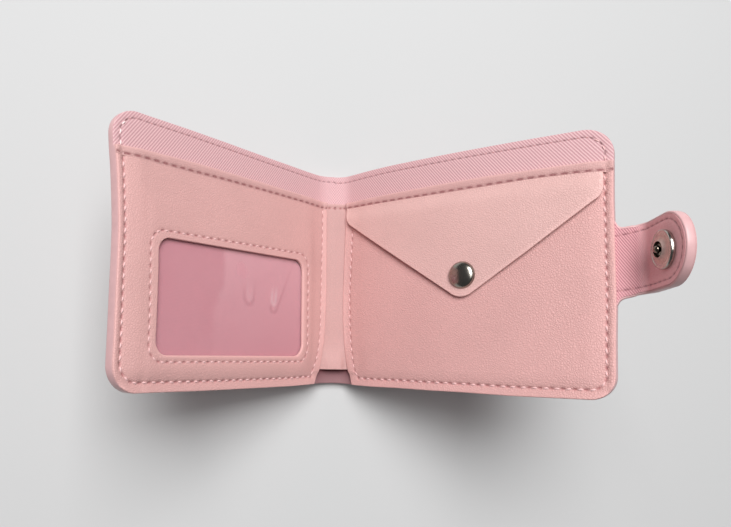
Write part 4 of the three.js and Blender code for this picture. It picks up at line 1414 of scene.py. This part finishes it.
# stud on the outer face of the left cover
CS = (106.3, -0.3)
o, ax = frame_at(LEFT, CS[0], CS[1], -0.7)
ax = -ax
prof = [(0, 3.1)] + [(2.35 * math.sin(math.radians(a)), 2.1 + 1.0 * math.cos(math.radians(a))) for a in (20, 40, 60, 80)] + [(2.35, 1.9), (2.05, 1.5), (2.0, 0.95), (2.3, 0.72), (4.6, 0.62), (5.6, 0.52), (5.9, 0.3), (5.9, 0.05), (5.6, -0.02), (0, -0.02)]
ob = lathe("closure_snap_stud", o, ax, prof)
piece(ob, M_NICKEL, body="left_cover", replaces=("closure_stud_base", "closure_stud_post"))

# ---------------------------------------------------------------------------------------------------------------------
# Stitches
def depthless(fn, lower=0.0):
    return lambda s, y: fn(s, y) - lower


for side in (-1, 1):
    nm, fm = NAME[side], MAPS[side]
    top_fn = ltop if side < 0 else rtop
    jobs = [(SIDESEAM[side], depthless(top_fn, 0.18), 0.33, 0.58, 0.40, 0.24), (in_seam[side], depthless(top_fn, 0.15), 0.30, 0.66, 0.30, 0.20)]
    if side < 0:
        jobs.append((win_seam, depthless(top_fn, 0.13), 0.29, 0.56, 0.35, 0.18))
    ob = threads(f"stitches_{nm}_panel", fm, jobs)
    piece(ob, M_THREAD, blend=FOLD[side])
    ob = threads(f"stitches_{nm}_hem", fm, [(hem_seam[side], depthless(hem_front[side], 0.20), 0.20, 0.56, 0.1, 0.06)], shift=0.5)
    piece(ob, M_THREAD_H, blend=FOLD[side])
    ob = threads(f"stitches_{nm}_top", fm, [(TOPSEAM[side], depthless(const(2.6), 0.14), 0.17, 0.60, 0.1, 0.12)])
    piece(ob, M_THREAD_D, blend=FOLD[side])
    ob = threads(f"stitches_{nm}_corner", fm, [(CORNER[side], depthless(const(2.6), 0.10), 0.36 if side < 0 else 0.26, 0.66, 0.3, 0.30)])
    # the left corner's stitches take the lighter thread copy: painted highlight
    piece(ob, M_THREAD_L if side < 0 else M_THREAD, body=f"{nm}_cover")
    ob = threads(f"stitches_{nm}_outside", fm, [(perim_seam[side], const(-0.58), 0.34, 0.62, 0.4, 0.20)], face=-1)
    piece(ob, M_THREAD, blend=FOLD[side])


def part_seam(seam, keep):
    """The numbers of the stitches of a seam whose middle point p has keep(p) true."""
    ks = [k for k in range(seam.n) if keep(seam.at(seam.pitch * (k + 0.5)))]
    return ks


def threads_some(name, fmap, seam, ks, hgt, rad, share, slant, rise, face=1):
    sub = Seam.__new__(Seam)
    sub.__dict__.update(seam.__dict__)
    runs = []
    for k in ks:
        p = seam.at(np.linspace(seam.pitch * k, seam.pitch * (k + 1), 20))
        s1 = Seam(p, seam.pitch)
        s1.n = 1
        s1.pitch = s1.len
        runs.append((s1, hgt, rad, share, slant, rise))
    return threads(name, fmap, runs, face)


root_k = [k for k in range(strap_seam.n) if strap_seam.at(strap_seam.pitch * (k + 0.5))[0] < TS]
tip_k = [k for k in range(strap_seam.n) if k not in root_k]
for nm_, ks, bl in (("root", root_k, ROOTBLEND), ("end", tip_k, TIPBLEND)):
    ob = threads_some(f"stitches_strap_{nm_}", STRAP, strap_seam, ks, const(1.36), 0.17, 0.6, 0.1, 0.12)
    piece(ob, M_THREAD_D, blend=bl)
    ob = threads_some(f"stitches_strap_{nm_}_outside", STRAP, strap_seam, ks, const(-1.42), 0.30, 0.55, 0.3, 0.16, face=-1)
    piece(ob, M_THREAD, blend=bl)

# ---------------------------------------------------------------------------------------------------------------------
# Floor, light and camera
bpy.ops.mesh.primitive_grid_add(x_subdivisions=8, y_subdivisions=8, size=6.0, location=(0, 0, -0.0003))
floor = bpy.context.object
floor.name = "floor"
m, nt, bs = material("floor_paper")
tc = node(nt, "ShaderNodeTexCoord")
nz = tex_noise(nt, tc.outputs["Object"], 3.0, 3.0, 0.5)
nt.links.new(mix_col(nt, nz, (0.590, 0.592, 0.592), (0.603, 0.604, 0.604)), bs.inputs["Base Color"])
bs.inputs["Roughness"].default_value = 0.9
bs.inputs["Specular IOR Level"].default_value = 0.15
floor.data.materials.append(m)


def area(name, loc, target, size, power, color=(1, 1, 1), size_y=None):
    li = bpy.data.lights.new(name, "AREA")
    li.energy = power
    li.color = color
    li.size = size
    if size_y:
        li.shape = "RECTANGLE"
        li.size_y = size_y
    ob = bpy.data.objects.new(name, li)
    bpy.context.scene.collection.objects.link(ob)
    ob.location = loc
    ob.rotation_euler = (Vector(target) - Vector(loc)).to_track_quat("-Z", "Y").to_euler()
    return ob


area("key", (-0.085, 0.50, 1.03), (0, 0, 0.03), 0.70, 14.3)
area("overhead", (-0.01, 0.16, 1.30), (0, 0, 0.03), 0.70, 4.8)

world = bpy.data.worlds.new("studio")
bpy.context.scene.world = world
world.use_nodes = True
world.node_tree.nodes["Background"].inputs[0].default_value = (0.95, 0.97, 1.0, 1)
world.node_tree.nodes["Background"].inputs[1].default_value = 0.090

cam = bpy.data.cameras.new("camera")
cam.sensor_width = 36.0
cam.lens = 30.271
cam.shift_x = 0.1112
cam.shift_y = 0.0267
cam.clip_start = 0.01
cam.clip_end = 20
cam_ob = bpy.data.objects.new("camera", cam)
bpy.context.scene.collection.objects.link(cam_ob)
R = Matrix(((0.99211, -0.02822, -0.12218), (0.01524, 0.99426, -0.10589), (0.12446, 0.10319, 0.98684)))
cam_ob.matrix_world = Matrix.Translation((-0.056168, -0.032111, 0.273985)) @ R.to_4x4()
bpy.context.scene.camera = cam_ob
bpy.context.scene.view_settings.view_transform = "Standard"
bpy.context.scene.view_settings.look = "None"

bpy.context.view_layer.update()
